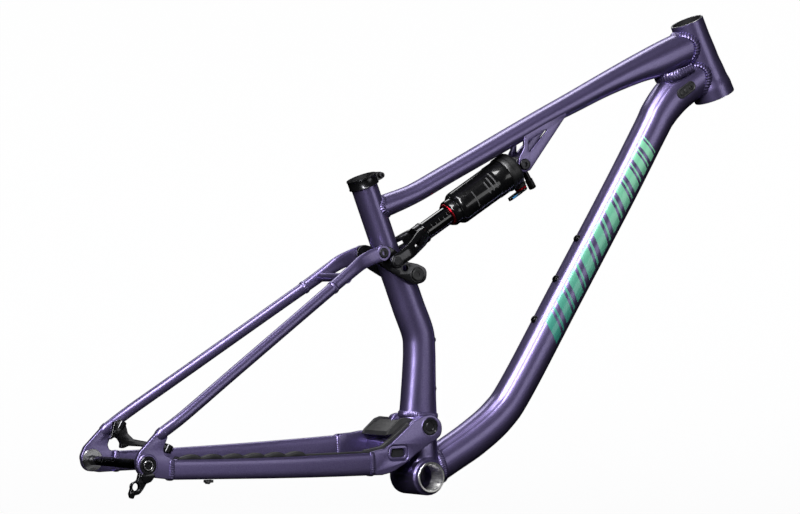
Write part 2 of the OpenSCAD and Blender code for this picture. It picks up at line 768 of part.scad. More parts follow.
module rocker_rear_bushes() {
    color(bare_metal) difference() {
        cross_pair(seatstay_pivot, rear_bore_r - seat_gap, rocker_inner + 0.2, rocker_outer);
        cross_pin(seatstay_pivot, 7.9, -40, 40);
    }
}

module rocker_pivot_bolts() {
    color(black) difference() {
        union() {
            cross_pair(rocker_pivot, rocker_bolt_r, boss_half - rocker_bolt_depth + 0.5, rocker_outer + side_gap);
            cross_pair(rocker_pivot, 8.6, rocker_outer + side_gap, rocker_outer + 3);
        }
        cross_pair(rocker_pivot, 3, rocker_outer, 50);
    }
}

// ---------------------------------------------------------------- shock, drawn along its own axis
head_r = 22;
head_start = 10;
head_end = 29;
band_end = 48;
can_end = 115;
lip_end = 126;
lip_r = 17.8;
bore_r = 19.6;
eyelet_r = 10.5;
eyelet_half = 12;
valve_neck_r = 4.2;

// Local +Z points away from the eyelet, down towards the ground
module at_valve() { at_shock() translate([-8.2, -7, -0.5]) rotate([0, -90, 0]) children(); }

module shock_head() {
    color(graphite) difference() {
        union() {
            at_shock() rotate_extrude() polygon([[0, 6], [11.5, 6], [12, 9.4], [20, head_start + 2],
                [head_r, 16], [head_r, head_end], [0, head_end]]);
            cross_pin(shock_pivot, eyelet_r, -eyelet_half, eyelet_half);
        }
        cross_pin(shock_pivot, shock_bolt_r + 3 + seat_gap, -30, 30);
        at_shock() translate([-21, 0, 12]) rotate([0, 90, 0]) translate([0, 0, -20])
            cylinder(r = 9 + seat_gap, h = 24);
        at_valve() cylinder(r = valve_neck_r + seat_gap, h = 20);
    }
}

module shock_bush() {
    color(bare_metal) difference() {
        cross_pin(shock_pivot, shock_bolt_r + 3, -eyelet_half, eyelet_half);
        cross_pin(shock_pivot, shock_bolt_r + run_gap, -30, 30);
    }
}

module shock_air_can() {
    color(black) at_shock() rotate_extrude() polygon([
        [0, head_end + 0.05], [head_r + 0.8, head_end + 0.05], [head_r + 0.8, band_end - 1], [can_d / 2, band_end],
        [can_d / 2, can_end - 3], [can_d / 2 - 3, can_end], [lip_r, can_end], [lip_r, lip_end],
        [shaft_d / 2 + run_gap, lip_end], [shaft_d / 2 + run_gap, can_end - 2], [bore_r, can_end - 2],
        [bore_r, band_end + 4], [0, band_end + 4]]);
}

module air_valve() {
    color(bare_metal) at_valve() {
        cylinder(r = valve_neck_r, h = 16.3);
        translate([0, 0, 16.3]) cylinder(r = 5.2, h = 12.5);
    }
}

adjuster_t = 12;
housing_r = 9;

// Local +Z points away from the shock, down towards the ground
module at_adjuster() { at_shock() translate([0, 0, adjuster_t]) rotate([0, -90, 0]) children(); }

module adjuster_housing() {
    color(black) at_adjuster() translate([0, 0, 17.5]) {
        cylinder(r = housing_r, h = 9.5);
        cylinder(r = 3, h = 16.6);
    }
}

module rebound_knob() {
    color([0.6, 0.05, 0.08]) at_adjuster() translate([0, 0, 27.2]) difference() {
        union() {
            cylinder(r = 7.6, h = 3.2);
            for (k = [0:11]) rotate([0, 0, 30 * k]) translate([7.4, 0, 0]) cylinder(r = 0.8, h = 3.2);
        }
        translate([0, 0, -1]) cylinder(r = 3 + run_gap, h = 6);
    }
}

module lockout_lever() {
    color(black) at_adjuster() translate([0, 0, 30.8]) difference() {
        union() {
            cylinder(r = 7.8, h = 3);
            translate([0, -4.4, 0]) cube([20, 8.8, 3]);
            translate([20, 0, 0]) cylinder(r = 4.4, h = 3);
        }
        translate([0, 0, -1]) cylinder(r = 3 + run_gap, h = 6);
    }
}

piston_at = 104;
collar_at = 172;

module shock_shaft() {
    color(black) at_shock() translate([0, 0, piston_at + 8]) cylinder(r = shaft_d / 2, h = collar_at - piston_at - 8 - weld_gap);
}

module shock_piston() {
    color(bare_metal) at_shock() translate([0, 0, piston_at]) cylinder(r = bore_r - run_gap, h = 8 - weld_gap);
}

module travel_ring() {
    color([0.75, 0.05, 0.12]) at_shock() translate([0, 0, lip_end + 2]) rotate_extrude()
        translate([shaft_d / 2 + run_gap + 1.6, 0]) circle(r = 1.6, $fn = 24);
}

// Fork that carries the shaft past both sides of the seat tube to the rocker
fork_half = (yoke_inner + yoke_outer) / 2;

module yoke_arm(side) {
    loft([[0, side * 9, collar_at + 3, 9, 6, 3], [0, side * 15, collar_at + 14, 11, 4.6, 3],
          [0, side * 26, collar_at + 32, 10, 3.6, 3], [0, side * (fork_half - 1), collar_at + 47, 9.4, 3.2, 3],
          [0, side * fork_half, collar_at + 56, 9.2, 3.2, 3], [0, side * fork_half, shock_length, 9, 3.2, 3]],
         steps = 2, sides = 14);
}

module shock_yoke() {
    color(black) difference() {
        union() {
            at_shock() translate([0, 0, collar_at]) cylinder(r = 14, h = 13);
            at_shock() yoke_arm(1);
            at_shock() yoke_arm(-1);
            cross_pair(yoke_pivot, 9.5, yoke_inner, yoke_outer);
            cross_pair(yoke_pivot, 8, ear_inner, yoke_inner + 1);
        }
        cross_pin(yoke_pivot, pivot_shank_r + seat_gap, -50, 50);
        cross_pair(yoke_pivot, 6.4, yoke_outer - 2.5, 60);
        at_shock() translate([-20, -fork_half + 8, collar_at + 56]) cube([40, 2 * fork_half - 16, 40]);
    }
}

module yoke_pivot_bolts() {
    color(black) difference() {
        union() {
            cross_pair(yoke_pivot, pivot_shank_r, rocker_inner + 0.6, yoke_outer - 1);
            cross_pair(yoke_pivot, 6.3, yoke_outer - 2.4, yoke_outer + 0.6);
        }
        cross_pair(yoke_pivot, 2.5, yoke_outer - 1.5, 60);
    }
}

head_tube();
top_tube();
down_tube();
seat_tube();
bb_shell();
rocker_pivot_boss();
shock_mount();
seat_collar();
seat_collar_bolt();
cable_port_cover();
cable_port_screw();
bottle_bolts();
main_pivot_bearings();
rocker_pivot_bolts();
shock_front_bolt();
chainstay_left();
chainstay_right();
chainstay_arm_left();
chainstay_arm_right();
chainstay_bridge();
main_pivot_axle();
main_pivot_caps();
dropout_left();
dropout_right();
thru_axle();
axle_nut();
derailleur_hanger();
brake_bracket();
brake_bracket_bolts();
chainstay_guard();
mud_guard();
cable_clip();
seatstay_left();
seatstay_right();
seatstay_bridge();
seatstay_pivot_bolts();
rocker_left();
rocker_right();
rocker_bearings();
rocker_rear_bushes();
shock_head();
shock_air_can();
shock_bush();
air_valve();
adjuster_housing();
rebound_knob();
lockout_lever();
shock_shaft();
shock_piston();
shock_yoke();
yoke_pivot_bolts();
travel_ring();
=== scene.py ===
import math

import bmesh
import bpy
from mathutils import Matrix, Vector


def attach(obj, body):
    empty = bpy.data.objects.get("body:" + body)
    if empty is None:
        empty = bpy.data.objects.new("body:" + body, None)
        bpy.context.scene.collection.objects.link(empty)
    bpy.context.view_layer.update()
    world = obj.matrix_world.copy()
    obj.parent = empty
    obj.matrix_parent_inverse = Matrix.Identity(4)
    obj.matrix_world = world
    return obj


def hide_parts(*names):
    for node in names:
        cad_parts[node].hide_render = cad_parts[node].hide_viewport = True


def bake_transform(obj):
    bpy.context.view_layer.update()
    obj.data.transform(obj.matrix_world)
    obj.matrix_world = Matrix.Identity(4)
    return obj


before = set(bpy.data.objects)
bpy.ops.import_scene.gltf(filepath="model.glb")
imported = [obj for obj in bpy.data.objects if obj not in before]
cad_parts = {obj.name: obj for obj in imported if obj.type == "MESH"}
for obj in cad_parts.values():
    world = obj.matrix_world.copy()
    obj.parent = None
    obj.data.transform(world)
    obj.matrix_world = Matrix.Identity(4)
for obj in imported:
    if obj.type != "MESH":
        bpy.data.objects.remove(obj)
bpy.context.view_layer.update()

# Full-suspension mountain bicycle frame. Shapes are given in millimetres, as in the CAD source:
# origin at the bottom bracket, +X forward, +Y left, +Z up. MM turns them into metres.
MM = 0.001

MAIN_PIVOT = Vector((-5.5, 0, 66.3))
ROCKER_PIVOT = Vector((-10.5, 0, 264.5))
STAY_PIVOT = Vector((-64, 0, 293))
YOKE_PIVOT = Vector((-47.5, 0, 282))
SHOCK_PIVOT = Vector((162, 0, 408))
AXLE = Vector((-435.5, 0, 35.5))
FLEX_POINT = Vector((-411, 0, 76.1))
STAY_ANGLE = math.radians(33.1)
HEAD_TOP = Vector((439.5, 0, 603.3))
HEAD_ANGLE = math.radians(66.2)
HEAD_LENGTH = 111
SEAT_TOP = Vector((-79, 0, 392))
SEAT_ANGLE = math.radians(69.4)
SEAT_R = 17.45
SIDES = ((-1, "right"), (1, "left"))


# ---------------------------------------------------------------- mesh helpers
def finish_piece(name, bm, material, body, hides=(), sharp=35):
    """Turns a mesh in millimetres into a shown piece that rides on a CAD body."""
    bmesh.ops.recalc_face_normals(bm, faces=bm.faces[:])
    bmesh.ops.scale(bm, vec=(MM, MM, MM), verts=bm.verts[:])
    limit = math.radians(sharp)
    for edge in bm.edges:
        edge.smooth = len(edge.link_faces) == 2 and edge.calc_face_angle(0) < limit
    for face in bm.faces:
        face.smooth = True
    mesh = bpy.data.meshes.new(name)
    bm.to_mesh(mesh)
    bm.free()
    mesh.materials.append(material)
    obj = bpy.data.objects.new(name, mesh)
    bpy.context.scene.collection.objects.link(obj)
    if body:
        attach(obj, body)
    if hides:
        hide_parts(*hides)
    return obj


def painted(name, bm, body, hides=(), sharp=35):
    """A piece in the frame's violet paint."""
    return finish_piece(name, bm, PAINT, body, hides, sharp)


def across(y):
    """A step sideways, towards the frame's left."""
    return Vector((0, y, 0))


def join_meshes(*parts):
    """One mesh that holds all the given ones; they may overlap."""
    whole = bmesh.new()
    for part in parts:
        mesh = bpy.data.meshes.new("part")
        part.to_mesh(mesh)
        whole.from_mesh(mesh)
        part.free()
        bpy.data.meshes.remove(mesh)
    return whole


def evaluated(bm, *modifiers):
    """The mesh after the given (type, settings) modifiers."""
    mesh = bpy.data.meshes.new("work")
    bm.to_mesh(mesh)
    bm.free()
    holder = bpy.data.objects.new("work", mesh)
    bpy.context.scene.collection.objects.link(holder)
    for kind, settings in modifiers:
        modifier = holder.modifiers.new(kind, kind)
        for key, value in settings.items():
            setattr(modifier, key, value)
    result = bpy.data.meshes.new_from_object(holder.evaluated_get(bpy.context.evaluated_depsgraph_get()))
    bpy.data.objects.remove(holder)
    out = bmesh.new()
    out.from_mesh(result)
    bpy.data.meshes.remove(result)
    return out


def forged(bm, voxel=1.2, rounds=6):
    """Blends overlapping closed shapes into one body with soft fillets."""
    return evaluated(bm, ("REMESH", {"mode": "VOXEL", "voxel_size": voxel}),
                     ("SMOOTH", {"factor": 0.5, "iterations": rounds}))


def cut_away(bm, cutter):
    """The mesh with the cutter's volume removed."""
    mesh = bpy.data.meshes.new("cutter")
    bmesh.ops.recalc_face_normals(cutter, faces=cutter.faces[:])
    cutter.to_mesh(mesh)
    cutter.free()
    tool = bpy.data.objects.new("cutter", mesh)
    bpy.context.scene.collection.objects.link(tool)
    result = evaluated(bm, ("BOOLEAN", {"operation": "DIFFERENCE", "solver": "EXACT", "object": tool}))
    bpy.data.objects.remove(tool)
    return result


def slice_off(bm, point, normal, close=True):
    """Removes what lies on the side of the plane that the normal points to."""
    geometry = bm.verts[:] + bm.edges[:] + bm.faces[:]
    cut = bmesh.ops.bisect_plane(bm, geom=geometry, plane_co=Vector(point), plane_no=Vector(normal),
                                 clear_outer=True)
    if close:
        edges = [e for e in cut["geom_cut"] if isinstance(e, bmesh.types.BMEdge)]
        bmesh.ops.holes_fill(bm, edges=edges)
    return bm


def bridge_rings(bm, rings, close_start=True, close_end=True, loop=False):
    """Skins a list of rings of points, each with the same number of points."""
    made = [[bm.verts.new(p) for p in ring] for ring in rings]
    count = len(rings[0])
    pairs = list(zip(made, made[1:]))
    if loop:
        pairs.append((made[-1], made[0]))
    for a, b in pairs:
        for j in range(count):
            k = (j + 1) % count
            bm.faces.new((a[j], a[k], b[k], b[j]))
    if close_start and not loop:
        bm.faces.new(made[0])
    if close_end and not loop:
        bm.faces.new(made[-1][::-1])
    return bm


# ---------------------------------------------------------------- lofted tubes
# A station is (x, y, z, half depth, half width, squareness)
def smooth_stations(stations, steps):
    """A Catmull-Rom path through the stations."""
    last = len(stations) - 1
    path = []
    for i in range(last):
        a, b, c, d = (stations[k] for k in (max(i - 1, 0), i, i + 1, min(i + 2, last)))
        for step in range(steps):
            u = step / steps
            path.append([0.5 * (2 * q + (r - p) * u + (2 * p - 5 * q + 4 * r - s) * u * u
                                + (3 * q - p - 3 * r + s) * u ** 3) for p, q, r, s in zip(a, b, c, d)])
    path.append(list(stations[last]))
    return path


def superellipse(turn, squareness):
    """(side, up) on a rounded rectangle of half size 1."""
    power = 2 / squareness
    side, up = math.sin(turn), math.cos(turn)
    return (math.copysign(abs(side) ** power, side), math.copysign(abs(up) ** power, up))


def section_point(path, i, turn, section, lift=0.0):
    """The point at one angle of one cross-section, raised by lift off the surface."""
    ahead = Vector(path[min(i + 1, len(path) - 1)][:3]) - Vector(path[max(i - 1, 0)][:3])
    ahead.normalize()
    side = across(1) - ahead * ahead.y
    side.normalize()
    up = ahead.cross(side)
    depth, width, squareness = path[i][3:]
    s, u = section(turn, squareness)
    return Vector(path[i][:3]) + up * (depth + lift) * u + side * (width + lift) * s


def tube_rings(stations, steps=8, sides=48, section=superellipse):
    path = smooth_stations(stations, steps)
    return [[section_point(path, i, 2 * math.pi * (j + 0.5) / sides, section) for j in range(sides)]
            for i in range(len(path))]


def tube(stations, steps=8, sides=48, section=superellipse, close_start=True, close_end=True):
    return bridge_rings(bmesh.new(), tube_rings(stations, steps, sides, section), close_start, close_end)


def mitre(ring, heading, axis_point, axis, radius_at, sink=0.0):
    """Pushes each point of a ring along heading until it meets a round tube, less sink."""
    met = []
    flat_heading = heading - axis * heading.dot(axis)
    for start in ring:
        apart = start - axis_point
        apart -= axis * apart.dot(axis)
        near, far = 0.0, -apart.dot(flat_heading) / flat_heading.dot(flat_heading)
        for _ in range(26):
            middle = (near + far) / 2
            offset = start + heading * middle - axis_point
            along = offset.dot(axis)
            if (offset - axis * along).length > radius_at(along) - sink:
                near = middle
            else:
                far = middle
        met.append(start + heading * near)
    return met


# ---------------------------------------------------------------- turned parts
def lathe(profile, at, axis, segments=64, closed=False):
    """Turns (radius, height) points about an axis through a point in millimetres."""
    axis = Vector(axis).normalized()
    side = axis.orthogonal().normalized()
    other = axis.cross(side)
    at = Vector(at)
    bm = bmesh.new()
    rings = [[at + axis * h + (side * math.cos(t) + other * math.sin(t)) * max(r, 0.01)
              for t in (2 * math.pi * j / segments for j in range(segments))] for r, h in profile]
    return bridge_rings(bm, rings, not closed, not closed, closed)


def rod(r, low, high, at, axis, segments=64):
    """A plain round bar between two heights on an axis."""
    return lathe([(0, low), (r, low), (r, high), (0, high)], at, axis, segments)


def rounded_rod(r, h, edge=0.6):
    """Profile of a solid rod of height h with a rounded top edge."""
    arc = [(r - edge + edge * math.cos(a), h - edge + edge * math.sin(a))
           for a in (math.pi / 2 * k / 4 for k in range(5))]
    return [(0, 0), (r, 0), *arc, (0, h)]


def ring_profile(inner, outer, low, high, edge=0.4):
    """Closed profile of a washer with small chamfers."""
    return [(inner, low), (outer, low), (outer, high - edge), (outer - edge, high),
            (inner + edge, high), (inner, high - edge)]


def socket_bolt(at, axis, r, height, socket=None, segments=48, dish=0.0):
    """A bolt head with a rounded rim and a hexagon socket."""
    axis = Vector(axis).normalized()
    side = axis.orthogonal().normalized()
    other = axis.cross(side)
    at = Vector(at)
    socket = socket or r * 0.5
    edge = min(0.9, r * 0.18)

    def hexagon_radius(turn):
        return socket * math.cos(math.pi / 6) / math.cos((turn + math.pi / 6) % (math.pi / 3) - math.pi / 6)

    def ring(radius, h, hexed=False):
        points = []
        for j in range(segments):
            turn = 2 * math.pi * j / segments
            rad = hexagon_radius(turn) if hexed else radius
            points.append(at + axis * h + (side * math.cos(turn) + other * math.sin(turn)) * rad)
        return points
    rings = [ring(r, 0)]
    for k in range(5):
        a = math.pi / 2 * k / 4
        rings.append(ring(r - edge + edge * math.cos(a), height - edge + edge * math.sin(a)))
    rings.append(ring(socket * 1.25, height - dish))
    rings.append(ring(0, height - dish, True))
    rings.append(ring(0, height - min(height * 0.75, 3.0), True))
    return bridge_rings(bmesh.new(), rings)


# ---------------------------------------------------------------- flat parts in the side view
def circle(at, r, count=48):
    return [(at[0] + r * math.cos(t), at[1] + r * math.sin(t))
            for t in (2 * math.pi * k / count for k in range(count))]


def rounded(corners, radius=3.0, pieces=7):
    """An outline with an arc at each (x, z) or (x, z, radius) corner."""
    out = []
    count = len(corners)
    for i, corner in enumerate(corners):
        here = Vector(corner[:2])
        back = Vector(corners[i - 1][:2]) - here
        ahead = Vector(corners[(i + 1) % count][:2]) - here
        wanted = corner[2] if len(corner) > 2 else radius
        half = back.angle(ahead) / 2
        if wanted < 0.05 or half > math.radians(88):
            out.append(tuple(here))
            continue
        reach = min(wanted / math.tan(half), 0.49 * back.length, 0.49 * ahead.length)
        start, end = here + back.normalized() * reach, here + ahead.normalized() * reach
        for k in range(pieces + 1):
            u = k / pieces
            out.append(tuple(start * (1 - u) ** 2 + here * 2 * u * (1 - u) + end * u * u))
    return out


def turning(loop):
    return sum(a[0] * b[1] - b[0] * a[1] for a, b in zip(loop, loop[1:] + loop[:1]))


def plate(outline, y0, y1, holes=(), bevel=0.8, detail=2):
    """A flat plate across Y, with rounded edges round its outline and holes."""
    curve = bpy.data.curves.new("outline", "CURVE")
    curve.dimensions = "2D"
    curve.fill_mode = "BOTH"
    curve.extrude = abs(y1 - y0) / 2 - bevel
    curve.bevel_depth = bevel
    curve.bevel_resolution = detail
    curve.offset = -bevel
    for k, loop in enumerate([outline, *holes]):
        points = loop if (turning(loop) > 0) == (k == 0) else loop[::-1]
        spline = curve.splines.new("POLY")
        spline.points.add(len(points) - 1)
        for knot, (x, z) in zip(spline.points, points):
            knot.co = (x, z, 0, 1)
        spline.use_cyclic_u = True
    holder = bpy.data.objects.new("outline", curve)
    bpy.context.scene.collection.objects.link(holder)
    mesh = bpy.data.meshes.new_from_object(holder.evaluated_get(bpy.context.evaluated_depsgraph_get()))
    bpy.data.objects.remove(holder)
    bm = bmesh.new()
    bm.from_mesh(mesh)
    bpy.data.meshes.remove(mesh)
    bmesh.ops.remove_doubles(bm, verts=bm.verts[:], dist=0.01)
    middle = (y0 + y1) / 2
    for vert in bm.verts:
        x, z, h = vert.co
        vert.co = (x, middle - h, z)
    return bm


# ---------------------------------------------------------------- weld beads
def resampled(points, step, closed):
    """Points at even spacing along a line of points."""
    loop = points + points[:1] if closed else points
    lengths = [(b - a).length for a, b in zip(loop, loop[1:])]
    count = max(8, int(sum(lengths) / step))
    out, i, run = [], 0, 0.0
    for k in range(count if closed else count + 1):
        target = sum(lengths) * k / count
        while i < len(lengths) - 1 and run + lengths[i] < target:
            run += lengths[i]
            i += 1
        out.append(loop[i].lerp(loop[i + 1], min(1, (target - run) / max(lengths[i], 1e-6))))
    return out


def weld(points, radius=4.4, pitch=2.9, closed=True, flat=0.34):
    """A bead of overlapping scales along a line, laid over a joint between two tubes."""
    around, steps = 14, 5
    path = resampled([Vector(p) for p in points], pitch / steps, closed)
    count = len(path)
    centre = sum(path, Vector()) / count
    rings = []
    for i, point in enumerate(path):
        before = path[i - 1] if closed or i else path[i]
        after = path[(i + 1) % count] if closed or i < count - 1 else path[i]
        along = (after - before).normalized()
        out = point - centre
        out = (out - along * out.dot(along)).normalized()
        cross = along.cross(out)
        ring = []
        for j in range(around):
            turn = 2 * math.pi * j / around
            phase = i / steps + 0.45 * math.sin(turn) ** 2
            dip = 0.5 * (1 - abs(math.sin(math.pi * phase)) ** 0.7)
            rise = out * math.cos(turn) * flat * (1 - dip)
            ring.append(point + (rise + cross * math.sin(turn) * (1 - dip / 3)) * radius)
        rings.append(ring)
    return bridge_rings(bmesh.new(), rings, not closed, not closed, closed)


# ---------------------------------------------------------------- materials
class Nodes:
    """Short calls for building one material's node tree."""

    def __init__(self, name, colour, roughness, metallic):
        self.material = bpy.data.materials.new(name)
        self.material.use_nodes = True
        self.tree = self.material.node_tree
        self.shader = self.tree.nodes["Principled BSDF"]
        self.set(**{"Base Color": (*colour, 1), "Roughness": roughness, "Metallic": metallic})
        self.place = self.add("ShaderNodeTexCoord").outputs["Object"]

    def add(self, kind, **values):
        node = self.tree.nodes.new(kind)
        for key, value in values.items():
            if key in node.inputs:
                node.inputs[key].default_value = value
            else:
                setattr(node, key, value)
        return node

    def set(self, **values):
        for key, value in values.items():
            self.shader.inputs[key.replace("_", " ")].default_value = value

    def link(self, a, b):
        self.tree.links.new(a, b)

    def noise(self, scale, detail=3.0, stretch=None):
        place = self.place
        if stretch:
            mapping = self.add("ShaderNodeMapping", Scale=stretch)
            self.link(place, mapping.inputs["Vector"])
            place = mapping.outputs["Vector"]
        node = self.add("ShaderNodeTexNoise", Scale=scale, Detail=detail)
        self.link(place, node.inputs["Vector"])
        return node.outputs["Fac"]

    def between(self, value, low, high, start=0.3, end=0.7):
        """A number that runs from low to high as value runs from start to end."""
        node = self.add("ShaderNodeMapRange")
        for key, number in zip(("From Min", "From Max", "To Min", "To Max"), (start, end, low, high)):
            node.inputs[key].default_value = number
        self.link(value, node.inputs["Value"])
        return node.outputs["Result"]

    def colours(self, value, dark, light, start=0.3, end=0.7):
        ramp = self.add("ShaderNodeValToRGB")
        ramp.color_ramp.elements[0].position = start
        ramp.color_ramp.elements[0].color = (*dark, 1)
        ramp.color_ramp.elements[1].position = end
        ramp.color_ramp.elements[1].color = (*light, 1)
        self.link(value, ramp.inputs["Fac"])
        self.link(ramp.outputs["Color"], self.shader.inputs["Base Color"])

    def bump(self, height, distance, strength=0.5):
        node = self.add("ShaderNodeBump", Strength=strength, Distance=distance)
        self.link(height, node.inputs["Height"])
        self.link(node.outputs["Normal"], self.shader.inputs["Normal"])


def paint_material():
    """Metallic violet paint: fine flakes under a glossy clear coat."""
    m = Nodes("violet_paint", (0.17, 0.135, 0.32), 0.34, 0.9)
    m.set(Coat_Weight=0.5, Coat_Roughness=0.16, Coat_IOR=1.5)
    flakes = m.add("ShaderNodeTexVoronoi", Scale=2600.0)
    m.link(m.place, flakes.inputs["Vector"])
    m.bump(flakes.outputs["Distance"], 0.0001, 0.15)
    m.colours(m.noise(900.0, 2.0), (0.165, 0.132, 0.3), (0.225, 0.188, 0.39))
    m.link(m.between(m.noise(14.0), 0.35, 0.4), m.shader.inputs["Roughness"])
    return m.material


def satin_metal(name, dark, light, roughness, grain, depth, metallic=1.0, coat=0.0):
    """Anodised or blasted metal: fine grain in colour, roughness and relief."""
    m = Nodes(name, dark, roughness, metallic)
    fine = m.noise(grain, 4.0)
    m.colours(fine, dark, light)
    m.link(m.between(m.noise(60.0), roughness - 0.05, roughness + 0.06), m.shader.inputs["Roughness"])
    m.bump(fine, depth, 0.35)
    if coat:
        m.set(Coat_Weight=coat, Coat_Roughness=0.05)
    return m.material


def machined_metal(name, dark, light, roughness, stretch):
    """Bare metal with fine turning marks along the stretched direction."""
    m = Nodes(name, dark, roughness, 1.0)
    marks = m.noise(55.0, 5.0, stretch)
    m.colours(marks, dark, light)
    m.link(m.between(marks, roughness - 0.07, roughness + 0.09), m.shader.inputs["Roughness"])
    m.bump(marks, 0.00006, 0.4)
    return m.material


def moulded(name, dark, light, roughness, grain, depth):
    """Matte plastic or rubber with a moulded texture; also the near-black painted shade."""
    m = Nodes(name, dark, roughness, 0.0)
    texture = m.noise(grain, 5.0)
    m.colours(m.noise(40.0), dark, light)
    m.link(m.between(texture, roughness - 0.06, roughness + 0.08), m.shader.inputs["Roughness"])
    m.bump(texture, depth, 0.5)
    return m.material


def print_material():
    """Mint green print on the down tube that shades to teal towards its lower end."""
    m = Nodes("mint_print", (0.2, 0.62, 0.4), 0.4, 0.25)
    m.set(Coat_Weight=0.6, Coat_Roughness=0.08)
    place = m.add("ShaderNodeSeparateXYZ")
    m.link(m.place, place.inputs["Vector"])
    m.colours(place.outputs["Z"], (0.045, 0.30, 0.24), (0.24, 0.66, 0.42), 0.18, 0.42)
    m.link(m.between(m.noise(700.0), 0.34, 0.46), m.shader.inputs["Roughness"])
    return m.material


PAINT = paint_material()
BLACK = satin_metal("black_anodised", (0.02, 0.02, 0.023), (0.045, 0.045, 0.05), 0.24, 900.0, 0.00003,
                    0.9, 0.4)
BOLT = satin_metal("blackened_steel", (0.02, 0.02, 0.022), (0.055, 0.055, 0.06), 0.28, 600.0, 0.00005)
GLOSS = satin_metal("gloss_black", (0.006, 0.006, 0.007), (0.014, 0.014, 0.015), 0.24, 500.0, 0.00002,
                    0.6, 0.8)
SHAFT = satin_metal("polished_black", (0.004, 0.004, 0.005), (0.010, 0.010, 0.011), 0.12, 400.0, 0.00001,
                    0.7, 1.0)
GREY = satin_metal("satin_grey", (0.06, 0.06, 0.062), (0.1, 0.1, 0.103), 0.45, 1200.0, 0.00008)
SILVER = machined_metal("machined_silver", (0.62, 0.62, 0.64), (0.86, 0.86, 0.88), 0.26, (1.0, 12.0, 1.0))
TURNED = machined_metal("turned_bore", (0.5, 0.5, 0.49), (0.74, 0.74, 0.72), 0.34, (14.0, 1.0, 14.0))
RED = satin_metal("red_anodised", (0.42, 0.008, 0.02), (0.62, 0.02, 0.035), 0.3, 500.0, 0.00003)
BLUE = satin_metal("blue_print", (0.01, 0.2, 0.5), (0.03, 0.34, 0.75), 0.35, 500.0, 0.00002, 0.2)
PLASTIC = moulded("black_plastic", (0.016, 0.016, 0.017), (0.03, 0.03, 0.032), 0.48, 1500.0, 0.00008)
RUBBER = moulded("guard_rubber", (0.014, 0.014, 0.015), (0.03, 0.03, 0.032), 0.42, 900.0, 0.00010)
# Near-black painted shade for the insides of the bores and the floor of the arm's pocket, where little light
# reaches.
PAINTED_SHADE = moulded("painted_shade_bore", (0.004, 0.004, 0.005), (0.010, 0.010, 0.012), 0.7, 500.0, 0.00005)
MARK = moulded("grey_print", (0.06, 0.06, 0.063), (0.1, 0.1, 0.105), 0.5, 900.0, 0.00001)
MINT = print_material()

FRONT, SWING, STAYS, ROCKER = "front_triangle", "swingarm", "seatstays", "rocker"
CAN, ROD = "shock_can", "shock_shaft"


# ---------------------------------------------------------------- head tube
head_axis = Vector((-math.cos(HEAD_ANGLE), 0, math.sin(HEAD_ANGLE)))


def head_radius(height):
    """Outside radius of the tapered head tube, height measured down from 0 at its top."""
    knots = [(0, 23.3), (-20, 23.3), (-55, 24.4), (-82, 26.3), (-98, 28.4), (-HEAD_LENGTH, 28.6)]
    for (h1, r1), (h0, r0) in zip(knots, knots[1:]):
        if height >= h0:
            u = (h1 - height) / (h1 - h0)
            u = u * u * (3 - 2 * u)
            return r1 + (r0 - r1) * max(0, min(1, u))
    return knots[-1][1]


def head_tube():
    steps = 44
    outside = [(head_radius(-HEAD_LENGTH * k / steps), -HEAD_LENGTH * k / steps) for k in range(steps + 1)]
    outside[0] = (outside[0][0] - 0.5, 0)
    outside.insert(1, (outside[1][0], -0.5))
    profile = [(21.6, 0), *outside, (26.8, -HEAD_LENGTH), (26.8, -HEAD_LENGTH + 2), (21.6, -2)]
    painted("head_tube_skin", lathe(profile, HEAD_TOP, head_axis, 96, True), FRONT, ["head_tube"])
    bore = [(21.6, -0.3), (21, -0.3), (21, -8), (18.5, -11), (18.5, -HEAD_LENGTH + 14),
            (26, -HEAD_LENGTH + 8), (26, -HEAD_LENGTH + 0.3), (26.8, -HEAD_LENGTH + 0.3),
            (26.8, -HEAD_LENGTH + 9), (21.6, -HEAD_LENGTH + 18), (21.6, -9)]
    # The bore's near-black colour is painted shade for the dark inside of the head tube.
    finish_piece("head_tube_bore", lathe(bore, HEAD_TOP, head_axis, 96, True), PAINTED_SHADE, FRONT)
    for name, h, low, high in (("head_rim_top", 0.35, 21.0, 22.9),
                               ("head_rim_bottom", -HEAD_LENGTH - 0.35, 26, 28.1)):
        rim = [(low, h - 0.35), (high, h - 0.35), (high, h + 0.35), (low, h + 0.35)]
        finish_piece(name, lathe(rim, HEAD_TOP, head_axis, 96, True), SILVER, FRONT)


# ---------------------------------------------------------------- main tubes
seat_run = Vector((-math.cos(SEAT_ANGLE), 0, math.sin(SEAT_ANGLE)))
seat_front = Vector((math.sin(SEAT_ANGLE), 0, math.cos(SEAT_ANGLE)))
TOP_STATIONS = [
    (-38, 0, 356.6, 14.4, 16.6, 2.3), (0, 0, 370.4, 13.0, 17, 2.3),
    (50, 0, 395, 12.4, 17.5, 2.4), (100, 0, 419.5, 12.6, 18, 2.4), (150, 0, 444.3, 12.8, 18, 2.4),
    (200, 0, 468.8, 12.8, 18, 2.4), (250, 0, 491.6, 13.9, 18, 2.4), (300, 0, 514.5, 15.5, 18.6, 2.4),
    (350, 0, 535.3, 18.5, 20, 2.5), (385, 0, 548, 21.8, 21, 2.5), (409, 0, 557.7, 22.6, 21.4, 2.5)]
DOWN_STATIONS = [
    (8, 0, 2.5, 23.5, 22, 2.2), (45, 0, 23.5, 24, 22.5, 2.2), (86, 0, 46.5, 24.5, 22.5, 2.2),
    (124.5, 0, 74.5, 24, 22.5, 2.2), (155, 0, 111, 23.4, 22.5, 2.2),
    (229.5, 0, 225.8, 23.4, 22.5, 2.2), (320.5, 0, 366, 23.4, 22.5, 2.2),
    (374.6, 0, 452.8, 23.4, 22.8, 2.3), (389.8, 0, 477, 24.6, 23, 2.3),
    (411, 0, 500.5, 26.4, 23.4, 2.4), (434, 0, 516.5, 26, 23.6, 2.4)]
SEAM = Vector((383, 0, 519))
SEAM_SLOPE = math.radians(22.9)
